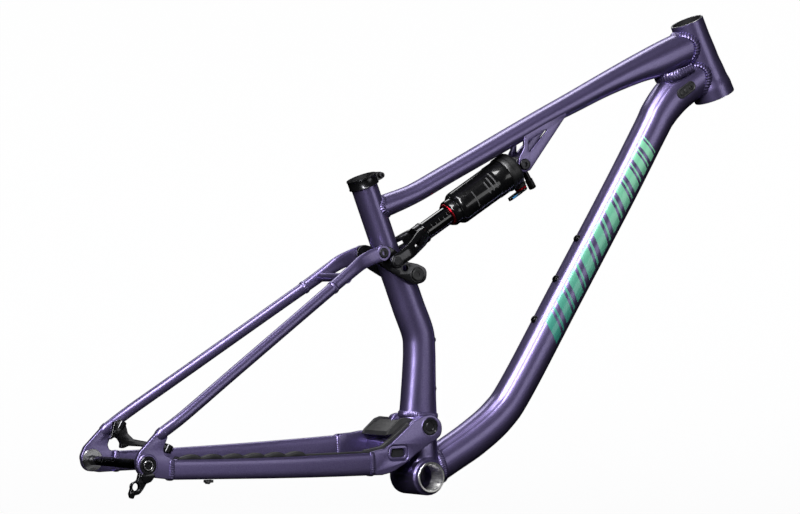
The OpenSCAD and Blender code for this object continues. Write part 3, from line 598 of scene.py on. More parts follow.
seam_normal = Vector((-math.sin(SEAM_SLOPE), 0, math.cos(SEAM_SLOPE)))
DOWN_WELD = Vector((26, 0, 22))
down_weld_normal = Vector((math.cos(math.radians(14)), 0, math.sin(math.radians(14))))
RIDGE = [(0, 1), (0.3, 0.965), (0.5, 0.87), (0.63, 0.735), (0.8, 0.6), (0.95, 0.3), (1, -0.05),
         (0.95, -0.42), (0.76, -0.76), (0.42, -0.95), (0, -1)]


def ridged(turn, _):
    """The down tube's section: a narrow ridge above, a crease on each shoulder and a round belly."""
    u = abs(math.remainder(turn, 2 * math.pi)) / math.pi * (len(RIDGE) - 1)
    i = min(int(u), len(RIDGE) - 2)
    u -= i
    mirror = [(-RIDGE[1][0], RIDGE[1][1]), *RIDGE, (-RIDGE[-2][0], RIDGE[-2][1])]
    a, b, c, d = mirror[i:i + 4]
    side, up = (0.5 * (2 * q + (r - p) * u + (2 * p - 5 * q + 4 * r - s) * u * u
                       + (3 * q - p - 3 * r + s) * u ** 3) for p, q, r, s in zip(a, b, c, d))
    return (math.copysign(side, math.sin(turn)), up)


def heading(rings):
    """The direction in which a tube leaves its last ring."""
    count = len(rings[-1])
    return (sum(rings[-1], Vector()) / count - sum(rings[-2], Vector()) / count).normalized()


def top_tube():
    rings = tube_rings(TOP_STATIONS, 8, 64)
    front = mitre(rings[-1], heading(rings), HEAD_TOP, head_axis, head_radius)
    inner = mitre(rings[-1], heading(rings), HEAD_TOP, head_axis, head_radius, 1.5)
    rear = mitre(rings[0], heading(rings[1::-1]), SEAT_TOP, seat_run, lambda _: SEAT_R)
    skin = bridge_rings(bmesh.new(), [rear, *rings, inner])
    slice_off(skin, SEAM, -seam_normal)
    painted("top_tube_skin", skin, FRONT, ["top_tube"])
    above = [p for p in front if (p - SEAM).dot(seam_normal) > -2]
    lowest = max(range(len(above)), key=lambda k: (above[k] - above[k - 1]).length)
    bead = above[lowest:] + above[:lowest]
    painted("weld_head_top", weld(bead, 7.2, 4.4, False), FRONT)
    painted("weld_seat_top", weld(rear, 5.6, 3.3), FRONT)


def down_tube():
    rings = tube_rings(DOWN_STATIONS, 9, 72, ridged)
    front = mitre(rings[-1], heading(rings), HEAD_TOP, head_axis, head_radius)
    inner = mitre(rings[-1], heading(rings), HEAD_TOP, head_axis, head_radius, 1.5)
    skin = bridge_rings(bmesh.new(), [*rings, inner])
    slice_off(skin, SEAM, seam_normal)
    slice_off(skin, DOWN_WELD, -down_weld_normal)
    painted("down_tube_skin", skin, FRONT, ["down_tube"])
    below = [p for p in front if (p - SEAM).dot(seam_normal) < 2]
    gap = max(range(len(below)), key=lambda k: (below[k] - below[k - 1]).length)
    painted("weld_head_down", weld(below[gap:] + below[:gap], 7.2, 4.4, False), FRONT)
    cut = []
    for j in range(72):
        for a, b in zip(rings, rings[1:]):
            low, high = ((p[j] - DOWN_WELD).dot(down_weld_normal) for p in (a, b))
            if low <= 0 < high:
                cut.append(a[j].lerp(b[j], low / (low - high)))
                break
    painted("weld_shell_down", weld(cut, 4.6), FRONT)


def seam_weld():
    """The bead between top tube and down tube, back from the head tube, round the crotch and forward."""
    run = Vector((math.cos(SEAM_SLOPE), 0, math.sin(SEAM_SLOPE)))
    side = [(run * d, 21.6 + 1.2 * min(1, d / 20)) for d in range(54, 27, -3)]
    path = [SEAM + p + across(-y) for p, y in side]
    path += [SEAM + run * (26 - 15 * math.sin(t)) + across(-20.5 * math.cos(t))
             for t in (math.pi * k / 12 for k in range(1, 12))]
    path += [SEAM + p + across(y) for p, y in side[::-1]]
    painted("weld_seam", weld(path, 6.2, 4.0, False, 0.38), FRONT)


def seat_station(drop, depth):
    p = SEAT_TOP - seat_run * drop + seat_front * (depth - SEAT_R)
    return (p.x, 0, p.z, depth, SEAT_R, 2)


def seat_tube():
    stations = [seat_station(drop, SEAT_R) for drop in (0, 40, 80, 108)]
    stations += [seat_station(118, 17.7), seat_station(132, 19.2), seat_station(155, 22),
                 seat_station(185, 22.4),
                 (3.6, 0, 188, 22, 17.4, 2.2), (5.6, 0, 165, 22, 17.4, 2.2), (4.8, 0, 135, 22.8, 17.4, 2.3),
                 (3.2, 0, 100, 24.6, 17.4, 2.3), (2.5, 0, 79, 26.4, 17.4, 2.3)]
    painted("seat_tube_skin", tube(stations, 7, 64, close_start=False), FRONT, ["seat_tube"])
    # The bore and the disc that closes it at its lower end are painted shade in near-black.
    bore = [(17.3, 0), (15.45, 0), (15.45, -90), (0, -90), (0, -91), (16.4, -91), (17.3, -4)]
    finish_piece("seat_tube_bore", lathe(bore, SEAT_TOP, seat_run, 64, True), PAINTED_SHADE, FRONT)
    ring = tube_rings([(2.6, 0, 81, 26.3, 17.4, 2.3), (2.5, 0, 80, 26.4, 17.5, 2.3)], 1, 64)[-1]
    painted("weld_seat_shell", weld(ring), FRONT)


# ---------------------------------------------------------------- bottom bracket forging
def bb_forging():
    web = [(2.5, 0, 79, 26.2, 17.2, 2.3), (2, 0, 72, 26, 19.4, 2.3), (0, 0, 56, 25, 25.4, 2.5),
           (-0.5, 0, 36, 24.4, 28.4, 2.6), (-0.5, 0, 8, 24, 29, 2.6)]
    socket = slice_off(tube(DOWN_STATIONS[:3], 6, 48, ridged), DOWN_WELD, down_weld_normal)
    body = join_meshes(
        rod(24.2, -30, 30, (0, 0, 0), (0, 1, 0)),
        rod(20.6, -36.3, 36.3, (0, 0, 0), (0, 1, 0)),
        tube(web, 4, 40), socket,
        rod(13.2, -31.8, 31.8, MAIN_PIVOT, (0, 1, 0)))
    body = forged(body, 1.3, 7)
    bore = rod(17.4, -50, 50, (0, 0, 0), (0, 1, 0))
    body = cut_away(body, bore)
    painted("bb_forging", body, FRONT, ["bb_shell"], 50)
    for side, word in SIDES:
        thread = [(17.4, 36.5), (19.5, 36.7), (20.0, 36.3), (20.0, 34.6), (18.4, 34.6), (18.4, 8)]
        thread += [(17.2 + 0.35 * (k % 2), 8 + k * 0.5) for k in range(56)]
        finish_piece("bb_face_" + word, lathe(thread, (0, 0, 0), (0, side, 0), 96, True), TURNED, FRONT)


def slope_axes(degrees):
    """Directions along and square to a line that climbs forward at the given angle."""
    slope = math.radians(degrees)
    return Vector((math.cos(slope), 0, math.sin(slope))), Vector((-math.sin(slope), 0, math.cos(slope)))


def seat_collar():
    """The clamp round the top of the seat tube, with two ears and the bolt through them."""
    collar = [(SEAT_R + 0.1, -13), (SEAT_R + 2.4, -13), (SEAT_R + 2.9, -12.2), (SEAT_R + 2.2, -11.2),
              (SEAT_R + 2.2, -2.4), (SEAT_R + 2.9, -1.6), (SEAT_R + 2.6, 0.2), (SEAT_R - 1.6, 0.4),
              (SEAT_R - 1.6, -0.2), (SEAT_R + 0.1, -0.4)]
    ring = lathe(collar, SEAT_TOP, seat_run, 96, True)
    ears = []
    for side in (-1, 1):
        ear = bmesh.new()
        centre = SEAT_TOP - seat_run * 6.5 + seat_front * 22.6
        loops = []
        for y in (1.2, 8.8):
            loop = []
            for t in (2 * math.pi * k / 28 for k in range(28)):
                back = seat_front * (5.5 if abs(t - math.pi) < 1.6 else 0)
                loop.append(centre + across(side * y) + seat_front * (5.4 * math.cos(t))
                            + seat_run * (5.2 * math.sin(t)) - back)
            loops.append(loop)
        bridge_rings(ear, loops)
        bmesh.ops.bevel(ear, geom=[e for e in ear.edges if e.calc_face_angle(0) > 0.9], offset=0.7,
                        segments=2, affect="EDGES")
        ears.append(ear)
    finish_piece("seat_collar_clamp", join_meshes(ring, *ears), BLACK, FRONT,
                 ["seat_collar"])
    bolt_at = SEAT_TOP - seat_run * 6.5 + seat_front * 24
    parts = [socket_bolt(bolt_at + across(-8.8), (0, -1, 0), 3.9, 3.6, 2.2),
             lathe(rounded_rod(3.9, 3.2), bolt_at + across(8.8), (0, 1, 0), 32),
             rod(2.4, -8.8, 8.8, bolt_at, (0, 1, 0), 24)]
    finish_piece("seat_collar_screw", join_meshes(*parts), BOLT, FRONT, ["seat_collar_bolt"])


def bottle_bolts():
    """Three bolts along the top of the down tube and two small ones in front of the seat tube."""
    run, normal = slope_axes(57)
    bolts = []
    for k in range(3):
        at = Vector((229.5, 0, 225.8)) + run * (83.6 - 64 * k) + normal * 23.3
        bolts.append(lathe(ring_profile(2.4, 5.6, -0.4, 0.8, 0.3), at, normal, 40, True))
        bolts.append(socket_bolt(at + normal * 0.8, normal, 4.5, 2.3, 2.1))
    for z in (178, 114):
        at = Vector((27.5, 0, z))
        bolts.append(lathe(ring_profile(2.0, 4.2, -0.6, 0.6, 0.3), at, (1, 0, 0), 40, True))
        bolts.append(socket_bolt(at + Vector((0.6, 0, 0)), (1, 0, 0), 3.4, 1.7, 1.7))
    finish_piece("boss_bolts", join_meshes(*bolts), BOLT, FRONT, ["bottle_bolts"])


def cable_port():
    """Oval cover on the down tube's drive side, with two rubber plugs and a screw."""
    run, up = slope_axes(32)
    centre = Vector((421, -23.4, 509))
    straight, count = 9.4, 44

    def oval(r, y):
        ring = []
        for k in range(count):
            t = 2 * math.pi * k / count
            shift = straight if math.cos(t) > 0 else -straight
            along = shift + r * math.cos(t)
            ring.append(centre + run * along + up * (r * math.sin(t)) + across(-y))
        return ring
    cover = bridge_rings(bmesh.new(), [oval(7.2, -1.4), oval(7.2, 0.6), oval(6.6, 1.5), oval(5.6, 1.7),
                                       oval(5.0, 1.0)])
    finish_piece("port_cover", cover, PLASTIC, FRONT, ["cable_port_cover"])
    plugs = []
    for along in (-9.5, -2.5):
        plugs.append(lathe(rounded_rod(2.7, 2.4, 0.6), centre + run * along + across(-0.6), (0, -1, 0), 28))
    finish_piece("port_plugs", join_meshes(*plugs), RUBBER, FRONT)
    screw = socket_bolt(centre + run * 7.5 + across(-0.8), (0, -1, 0), 3.1, 1.9, 1.5)
    finish_piece("port_screw", screw, GREY, FRONT, ["cable_port_screw"])


def shock_mount():
    outline = rounded([(154, 398, 8), (153.5, 414, 6), (162, 430, 10), (163, 452, 1), (230, 485, 1),
                       (229.5, 473, 3), (171.5, 400, 8), (163, 397.5, 8)])
    window = rounded([(169.3, 423, 2), (169.5, 439, 2.5), (183, 446, 2), (203, 457, 2)], 2)
    plates = [plate(outline, side * 12.5, side * 17.3, [window], 1.1) for side in (-1, 1)]
    painted("shock_mount_plates", join_meshes(*plates), FRONT, ["shock_mount"])
    at = SHOCK_PIVOT
    heads = [socket_bolt(at + across(s * 17.3), (0, s, 0), 7.6, 3.6, 3.4) for s in (-1, 1)]
    heads.append(rod(4, -17.3, 17.3, at, (0, 1, 0), 32))
    finish_piece("shock_bolt_front", join_meshes(*heads), BOLT, FRONT, ["shock_front_bolt"])


def frame_graphics():
    """Plain slanted bars in mint green on both sides of the down tube."""
    path = smooth_stations(DOWN_STATIONS, 18)
    first, last, bars = 84, 122, 10
    made = []
    for side in (-1, 1):
        for bar in range(bars):
            start = first + (last - first) * bar / bars
            for offset, width in ((0.0, 1.9), (2.45, 0.45)):
                bm = bmesh.new()
                grid = []
                for v in range(13):
                    turn = math.radians(62 + 5.6 * v)
                    lean = 2.3 * (0.5 - v / 12)
                    row = []
                    for w in range(7):
                        spot = start + offset + lean + width * w / 6
                        i = int(spot)
                        a, b = (section_point(path, k, side * turn, ridged, 0.18) for k in (i, i + 1))
                        row.append(bm.verts.new(a.lerp(b, spot - i)))
                    grid.append(row)
                for r0, r1 in zip(grid, grid[1:]):
                    for k in range(6):
                        bm.faces.new((r0[k], r0[k + 1], r1[k + 1], r1[k]))
                made.append(bm)
    finish_piece("down_tube_bars", join_meshes(*made), MINT, FRONT, sharp=60)


# ---------------------------------------------------------------- swingarm
RIGHT_STAY = [(-94, -41.2, 21.8, 15, 7, 4), (-160, -50, 22.6, 14.6, 7.5, 4), (-240, -60, 24, 13.8, 7.5, 4),
              (-330, -69, 26.4, 13, 7, 4), (-404, -75.2, 28.8, 12.8, 6, 4)]
LEFT_STAY = [(-94, 41.2, 41, 15, 7, 4), (-160, 50, 38, 14.6, 7.5, 4), (-240, 60, 35.5, 13.8, 7.5, 4),
             (-330, 69, 33.8, 13, 7, 4), (-404, 75.2, 33, 12.8, 6, 4)]
ARM_IN, ARM_OUT = 32.5, 44


def chainstays():
    for word, stations in (("right", RIGHT_STAY), ("left", LEFT_STAY)):
        painted("chainstay_skin_" + word, tube(stations, 9, 56), SWING, ["chainstay_" + word])
        for place, ring in (("front", tube_rings(stations[:2], 24, 56)[1]),
                            ("rear", tube_rings(stations[3:], 24, 56)[-2])):
            painted(f"weld_stay_{place}_{word}", weld(ring, 3.8), SWING)


def arms():
    """The two plates that carry the main pivot, with the eye's cap."""
    right = rounded([(-98, 6.8, 0), (-78, 6.4, 14), (-62, 9.5, 16), (-44, 19.5, 14), (-26, 32, 14),
                     (-8, 43, 20), (13, 54, 17), (13, 72, 17), (-1, 83.5, 17), (-17, 80.5, 12),
                     (-30, 73.5, 20), (-62, 48, 12), (-74, 40.5, 12), (-98, 36.6, 0)])
    pocket = rounded([(-66, 28.5, 5), (-62.5, 39.5, 4), (-44, 39.8, 4), (-43, 28.5, 5)])
    step = rounded([(-70, 24.5, 7), (-65.5, 43.5, 6), (-40, 44, 6), (-39, 24.5, 7)])
    parts = [plate(right, -ARM_IN, -ARM_OUT + 5, (), 1.2), plate(right, -ARM_OUT + 4.6, -ARM_OUT, [step],
                                                                 1.6, 3),
             plate(step, -ARM_OUT + 5.5, -ARM_OUT + 0.9, [pocket], 0.8)]
    painted("arm_right", join_meshes(*parts), SWING, ["chainstay_arm_right"])
    # A near-black sheet at the pocket's floor is painted shade for the recess.
    floor = plate(pocket, -ARM_OUT + 5.4, -ARM_OUT + 4.4, (), 0.3)
    finish_piece("arm_pocket_shade", floor, PAINTED_SHADE, SWING)
    left = rounded([(-98, 26, 0), (-76, 26.5, 12), (-50, 31, 20), (-24, 41, 16), (-6, 50, 14),
                    (10, 54, 14), (12, 72, 16), (-2, 83, 16), (-15, 80, 10), (-20, 72, 10),
                    (-27, 65.6, 10), (-37, 61.4, 10), (-62, 60.6, 12), (-76, 58.6, 12), (-98, 57.4, 0)])
    painted("arm_left", plate(left, ARM_IN, ARM_OUT, (), 1.8, 3), SWING, ["chainstay_arm_left"])
    bridge = rounded([(-57, 33), (-40, 33), (-38, 40), (-40, 50), (-57, 50)], 4)
    painted("arm_bridge", plate(bridge, -33, 33, (), 1.5), SWING, ["chainstay_bridge"])
    at = MAIN_PIVOT
    for side, word in SIDES:
        cap = [(0, 40.6), (11.4, 40.6), (11.4, 44.0), (10.9, 44.8), (9.6, 44.8), (9.2, 44.3), (6.4, 44.2),
               (6.0, 44.6), (5.4, 44.6), (5.0, 44.15), (0, 44.1)]
        finish_piece("pivot_cap_" + word, lathe(cap, at, (0, side, 0), 72), BLACK, SWING,
                     ["main_pivot_caps"])
        seat = [(11.5, 43.2), (12.6, 43.2), (12.9, 44.0), (12.4, 44.35), (11.5, 44.2)]
        painted("pivot_ring_" + word, lathe(seat, at, (0, side, 0), 72, True), SWING)


def dropouts():
    for side, low, high in ((-1, 16, 41.6), (1, 20, 45.8)):
        word = "right" if side < 0 else "left"
        outline = rounded([(-400, low, 0), (-426, 19.5, 10), (-447, 23.5, 13), (-452, 40, 12),
                           (-446, 52.5, 8), (-425, 72.5, 9), (-417.5, 80, 6), (-410.5, 75.5, 2),
                           (-406.5, 70, 5), (-410, 62, 7), (-413.5, 54, 6), (-411, 47.2, 5),
                           (-400, high, 0)])
        painted("dropout_plate_" + word, plate(outline, side * 74, side * 81, (), 1.3, 3), SWING,
                ["dropout_" + word])
        at = AXLE
        boss = [(7.3, 73.9), (14.6, 73.9), (14.6, 80.6), (13.2, 81.9), (7.3, 81.9)]
        painted("dropout_boss_" + word, lathe(boss, at, (0, side, 0), 72, True), SWING)
        face = ring_profile(6.1, 14.2, -74.1, -73.4, 0.3)
        finish_piece("hub_seat_" + word, lathe(face, at, (0, -side, 0), 72, True), SILVER, SWING)
        socket = [(-422, side * 77.5, 69, 4.6, 3.2, 3), (-417.5, side * 77.5, 71.9, 7, 5.8, 2.6),
                  (-412.8, side * 77.5, 74.9, 7.9, 7, 2.3), (-411.9, side * 77.5, 75.5, 7.3, 6.5, 2.3)]
        painted("dropout_socket_" + word, tube(socket, 5, 48), SWING)
    at = AXLE
    ring = ring_profile(7.4, 11.3, -0.2, 0.7, 0.35)
    finish_piece("axle_seat_left", lathe(ring, at + across(81.6), (0, 1, 0), 64, True), SILVER, SWING)
    axle = join_meshes(rod(6, -81.5, 82, at, (0, 1, 0), 48),
                       socket_bolt(at + across(81.8), (0, 1, 0), 9, 3.2, 3.4))
    finish_piece("rear_axle", axle, BOLT, SWING, ["thru_axle"])
    collar = [(6.6, 81.6), (11.3, 81.6), (11.3, 82.6), (10.7, 83.1), (8.4, 83.1), (7.6, 82.4), (6.6, 82.4)]
    nut = join_meshes(lathe(collar, at, (0, -1, 0), 72, True),
                      socket_bolt(at + across(-81.5), (0, -1, 0), 7.0, 2.0, 3.6))
    finish_piece("axle_nut_ring", nut, BLACK, SWING, ["axle_nut"])
    bright = lathe(ring_profile(5.2, 6.3, -0.3, 0.35, 0.2), at + across(-83.4), (0, -1, 0), 56, True)
    finish_piece("axle_nut_rim", bright, SILVER, SWING)


def hanger():
    outline = rounded([(-446.5, 27, 3), (-449, 17, 5), (-456.5, 14.5, 6), (-458, 8, 5), (-460.5, 1, 3),
                       (-459, -4, 2.5), (-455, -5.5, 2), (-453.5, -1, 3), (-447, 0, 7), (-441.5, 6, 5),
                       (-437, 13, 9), (-428, 20, 6), (-426, 33, 6), (-436, 40, 6)])
    hole = circle((-452, 9.5), 5, 36)
    body = plate(outline, -74.2, -80.8, [hole], 1.0, 3)
    rim = lathe(ring_profile(5.0, 7.4, 0, 1.0, 0.5), (-452, -80.6, 9.5), (0, -1, 0), 48, True)
    wedge = rounded([(-446, 22, 2), (-440, 12, 4), (-431, 15, 4), (-424, 24, 5), (-440, 30, 3)])
    finish_piece("hanger_body", join_meshes(body, rim, plate(wedge, -80, -82.2, (), 0.9)), BLACK, SWING,
                 ["derailleur_hanger"])


def brake_mount():
    outline = rounded([(-417, 60, 3), (-410.5, 83, 4), (-400, 87, 4), (-394, 80, 5), (-391, 68, 6),
                       (-383, 60.5, 6), (-366, 57, 8), (-341, 51, 6), (-329, 50.5, 4), (-326, 43, 4),
                       (-335, 40.8, 4), (-350, 45, 8), (-372, 50.5, 8), (-390, 52, 5), (-397, 49.5, 4),
                       (-402, 49.5, 4), (-401, 56, 4), (-405, 62, 4), (-410, 64, 3)])
    posts = []
    for x, z in ((-399.5, 79), (-333, 46.2)):
        run = Vector((0.4825, 0, 0.8759))
        posts.append(lathe(ring_profile(2.6, 6.2, -5, 5.2, 0.7), (x, 65, z), run, 40, True))
    body = join_meshes(plate(outline, 60.5, 68, (), 1.4, 3), *posts)
    finish_piece("brake_bracket_body", body, BLACK, SWING, ["brake_bracket"])
    bolts = [socket_bolt((x, 60.6, z), (0, -1, 0), r, 2.4, r * 0.5) for x, z,
             r in ((-408.5, 70, 3.4), (-397.5, 53, 2.6))]
    finish_piece("brake_bracket_screws", join_meshes(*bolts), BOLT, SWING,
                 ["brake_bracket_bolts"])


def stay_guard():
    """Ribbed rubber on top of the drive-side stay and along the arm."""
    path = smooth_stations(RIGHT_STAY[::-1], 30)
    start, pitch, humps = -390, 31.5, 6
    rows = []
    for i in range(len(path)):
        phase = (path[i][0] - start) / pitch
        if phase < -0.1:
            continue
        swell = max(0.0, math.sin(math.pi * (phase % 1) ** 1.5)) ** 0.8 if phase < humps else 0.0
        row = []
        for k in range(25):
            turn = math.radians(-24 + 5 * k)
            edge = min(1, k / 3, (24 - k) / 3)
            row.append(section_point(path, i, turn, superellipse,
                                     0.25 + edge * (1.4 + 4.2 * swell * max(0, math.cos(turn)))))
        inner = [section_point(path, i, math.radians(96 - 5 * k), superellipse, 0.1) for k in range(25)]
        rows.append(row + inner)
    finish_piece("guard_ribs", bridge_rings(bmesh.new(), rows), RUBBER, SWING,
                 ["chainstay_guard"])
    strip = rounded([(-102, 34.5, 2), (-74, 38.6, 8), (-62, 46.3, 8), (-34, 69.2, 2), (-35.5, 73.4, 2),
                     (-65, 51.4, 8), (-76.5, 43.4, 8), (-102, 39.6, 2)])
    finish_piece("guard_strip", plate(strip, -32.6, -40.5, (), 1.2, 3), RUBBER, SWING)


def mud_flap():
    wing = rounded([(-65, 57, 1), (-62, 63, 2), (-46, 76.5, 2), (-38, 79, 2), (-25, 77.5, 2), (-21, 72, 1),
                    (-21.5, 66, 2), (-30, 60, 2)])
    parts = [plate(wing, y0, y1, (), 0.8) for y0, y1 in ((-32.2, -28.6), (28.6, 32.2))]
    ramp = rounded([(-64, 56, 1), (-62, 62, 1), (-50, 70, 2), (-38, 76, 1), (-38, 73, 1), (-50, 66, 2),
                    (-56, 58, 1)])
    parts.append(plate(ramp, -29, 29, (), 0.7))
    finish_piece("mud_flap", join_meshes(*parts), PLASTIC, SWING, ["mud_guard"])


def clip():
    outline = rounded([(-351, 9.8), (-340.5, 9.8), (-340.5, 13.4), (-351, 13.4)], 1)
    pin = lathe(rounded_rod(2.2, 8.4, 0.8), (-347, -66.5, 10.2), (0, -1, 0), 28)
    finish_piece("clip_body", join_meshes(plate(outline, -66.8, -74.4, (), 0.5), pin), PLASTIC, SWING,
                 ["cable_clip"])


# ---------------------------------------------------------------- seatstays
stay_run = Vector((math.cos(STAY_ANGLE), 0, math.sin(STAY_ANGLE)))
STAY_STEPS = [(-9, 77.6, 7.0, 5.2), (0, 77.6, 7.2, 6.2), (36, 77.2, 7.2, 6.6), (120, 65, 7.2, 6.6),
              (240, 48.6, 7.3, 6.7), (322, 37.2, 7.6, 6.8)]


def stay_stations(side):
    made = []
    for run, y, depth, width in STAY_STEPS:
        p = FLEX_POINT + stay_run * run
        made.append((p.x, side * y, p.z, depth, width, 2.3))
    return made


def seatstays():
    for side, word in SIDES:
        tube_piece = painted("seatstay_skin_" + word, tube(stay_stations(side), 12, 48), None,
                             ["seatstay_" + word])
        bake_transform(tube_piece)
        ring = tube_rings(stay_stations(side), 12, 48)[-2]
        end = sum(ring, Vector()) / len(ring)
        painted("weld_seatstay_" + word, weld(ring, 3.2), STAYS)
        yoke = [(end.x - 2, end.y, end.z - 1, 7.5, 6.7, 2.4), (-112, side * 32.8, 271.5, 8.4, 5.6, 2.6),
                (-96, side * 29.6, 281.5, 9.4, 3.9, 3), (-80, side * 28, 288, 10, 3.1, 3.4),
                (-64, side * 28, 293, 10.2, 3, 3.6)]
        eye = lathe(ring_profile(3.6, 10.4, 25, 31, 0.9), STAY_PIVOT, (0, side, 0), 64, True)
        painted("seatstay_ear_" + word, join_meshes(tube(yoke, 6, 48), eye), STAYS)
        bolt = socket_bolt(STAY_PIVOT + across(side * 30.2), (0, side, 0), 6.9, 1.7, 3.2)
        finish_piece("seatstay_bolt_" + word, bolt, BOLT, STAYS, ["seatstay_pivot_bolts"])
    cross = []
    for k in range(25):
        u = k / 24 * 2 - 1
        flare = 1 + 0.45 * abs(u) ** 7
        cross.append((5.6 * flare, 37.5 * u))
    painted("seatstay_cross", lathe([(0, -37.5), *cross, (0, 37.5)], (-124, 0, 262.5), (0, 1, 0), 48),
            STAYS, ["seatstay_bridge"])


# ---------------------------------------------------------------- rocker
def rocker():
    outline = rounded([(-64, 304.5, 11), (-50, 301, 8), (-40, 294.5, 4), (-24, 281, 5), (-9, 278.2, 12),
                       (5, 272, 13), (3.6, 255, 13), (-14, 250.6, 12), (-40, 263, 20), (-56, 272, 10),
                       (-76, 286, 11), (-74, 300, 11)])
    window = circle((-28.5, 273), 4.4, 40)
    at = ROCKER_PIVOT
    for side, word in SIDES:
        parts = [plate(outline, side * 18.7, side * 24.6, [window], 1.1, 3),
                 lathe(ring_profile(4.4, 6.0, 24.0, 25.0, 0.3), (-28.5, 0, 273), (0, side, 0), 48, True)]
        finish_piece("rocker_plate_" + word, join_meshes(*parts), BLACK, ROCKER,
                     ["rocker_" + word])
        ring = lathe(ring_profile(8.9, 10.2, 24.2, 25.1, 0.3), at, (0, side, 0), 64, True)
        finish_piece("rocker_ring_" + word, ring, GREY, ROCKER)
        head = socket_bolt(at + across(side * 24.6), (0, side, 0), 8.3, 2.9, 3.4, dish=0.6)
        finish_piece("rocker_bolt_" + word, head, GREY, FRONT, ["rocker_pivot_bolts"])


# ---------------------------------------------------------------- shock
shock_run = Vector((-0.857, 0, -0.5154)).normalized()
shock_up = Vector((shock_run.z, 0, -shock_run.x))


def shock_point(t, y=0.0, p=0.0):
    return SHOCK_PIVOT + shock_run * t + shock_up * p + across(y)


def turned(name, profile, material, body, hides=(), segments=96):
    """A part turned about the shock's axis, from (radius, distance from the front bolt) points."""
    return finish_piece(name, lathe(profile, SHOCK_PIVOT, shock_run, segments), material, body, hides)


def groove(r, t, depth=0.45, width=0.9):
    return [(r, t - width / 2), (r - depth, t - width / 4), (r - depth, t + width / 4), (r, t + width / 2)]


def shock_can():
    head = [(0, 4), (9, 4), (12, 7), (12.4, 9.2), (20.6, 9.4), (23.2, 10.4), (24.6, 12.4), (24.8, 15),
            *groove(24.8, 21.5), (24.8, 27.6), (24.2, 28.6), (0, 28.6)]
    turned("shock_head_body", head, GREY, CAN, ["shock_head"])
    eye = lathe([(0, -12), (9.9, -12), (10.5, -11.4), (10.5, 11.4), (9.9, 12), (0, 12)], SHOCK_PIVOT,
                (0, 1, 0), 64)
    neck = tube([(*shock_point(2), 9.2, 11.5, 3), (*shock_point(9), 12.5, 12, 2.6),
                 (*shock_point(13), 16, 15, 2.2)], 5, 40)
    finish_piece("shock_eyelet", join_meshes(eye, neck), GREY, CAN)
    can = [(0, 28.8), (22.9, 28.8), (23.4, 29.4), (23.4, 46.5), (22.9, 47.4), *groove(22.8, 48.6),
           (22.8, 109.5), (22.4, 111.6), (21.2, 113.6), (19.8, 115), (19.8, 115.4), (17.2, 115.6),
           (17.2, 116.4), (17.9, 117), (17.9, 124.8), (17.2, 126), (13.6, 126), (13.2, 125.2), (0, 125.2)]
    turned("shock_can_body", can, GLOSS, CAN, ["shock_air_can"])
    wiper = [(12.6, 124.9), (14.4, 124.9), (14.2, 126.8), (12.9, 126.9)]
    finish_piece("shock_wiper", lathe(wiper, SHOCK_PIVOT, shock_run, 72, True), RUBBER, CAN)
    marks = []
    for k in range(3):
        marks.append(band_patch(22.95, 53 + 7 * k, 55 + 7 * k, -8, 54 - 9 * k))
    marks.append(band_patch(22.95, 90, 91.6, -24, 34))
    finish_piece("shock_can_marks", join_meshes(*marks), MARK, CAN, sharp=60)


def band_patch(r, t0, t1, low, high):
    """A thin printed patch round the shock, between two angles on its drive side."""
    bm = bmesh.new()
    rows = []
    for t in (t0, t1):
        row = []
        for k in range(17):
            a = math.radians(low + (high - low) * k / 16)
            row.append(bm.verts.new(shock_point(t, -r * math.cos(a), r * math.sin(a))))
        rows.append(row)
    for k in range(16):
        bm.faces.new((rows[0][k], rows[0][k + 1], rows[1][k + 1], rows[1][k]))
    return bm


def shock_rod():
    turned("shock_rod", [(0, 112), (12.5, 112), (12.5, 172), (0, 172)], SHAFT, ROD,
           ["shock_shaft"])
    ticks = [band_patch(12.58, 134 + 7 * k, 134.5 + 7 * k, 8, 24 if k % 2 else 36) for k in range(5)]
    finish_piece("shock_rod_ticks", join_meshes(*ticks), MARK, ROD, sharp=60)
    ring = [(14.2 + 1.55 * math.cos(a), 128 + 1.55 * math.sin(a))
            for a in (2 * math.pi * k / 14 for k in range(14))]
    finish_piece("travel_o_ring", lathe(ring, SHOCK_PIVOT, shock_run, 72, True), RED, "travel_ring",
                 ["travel_ring"])


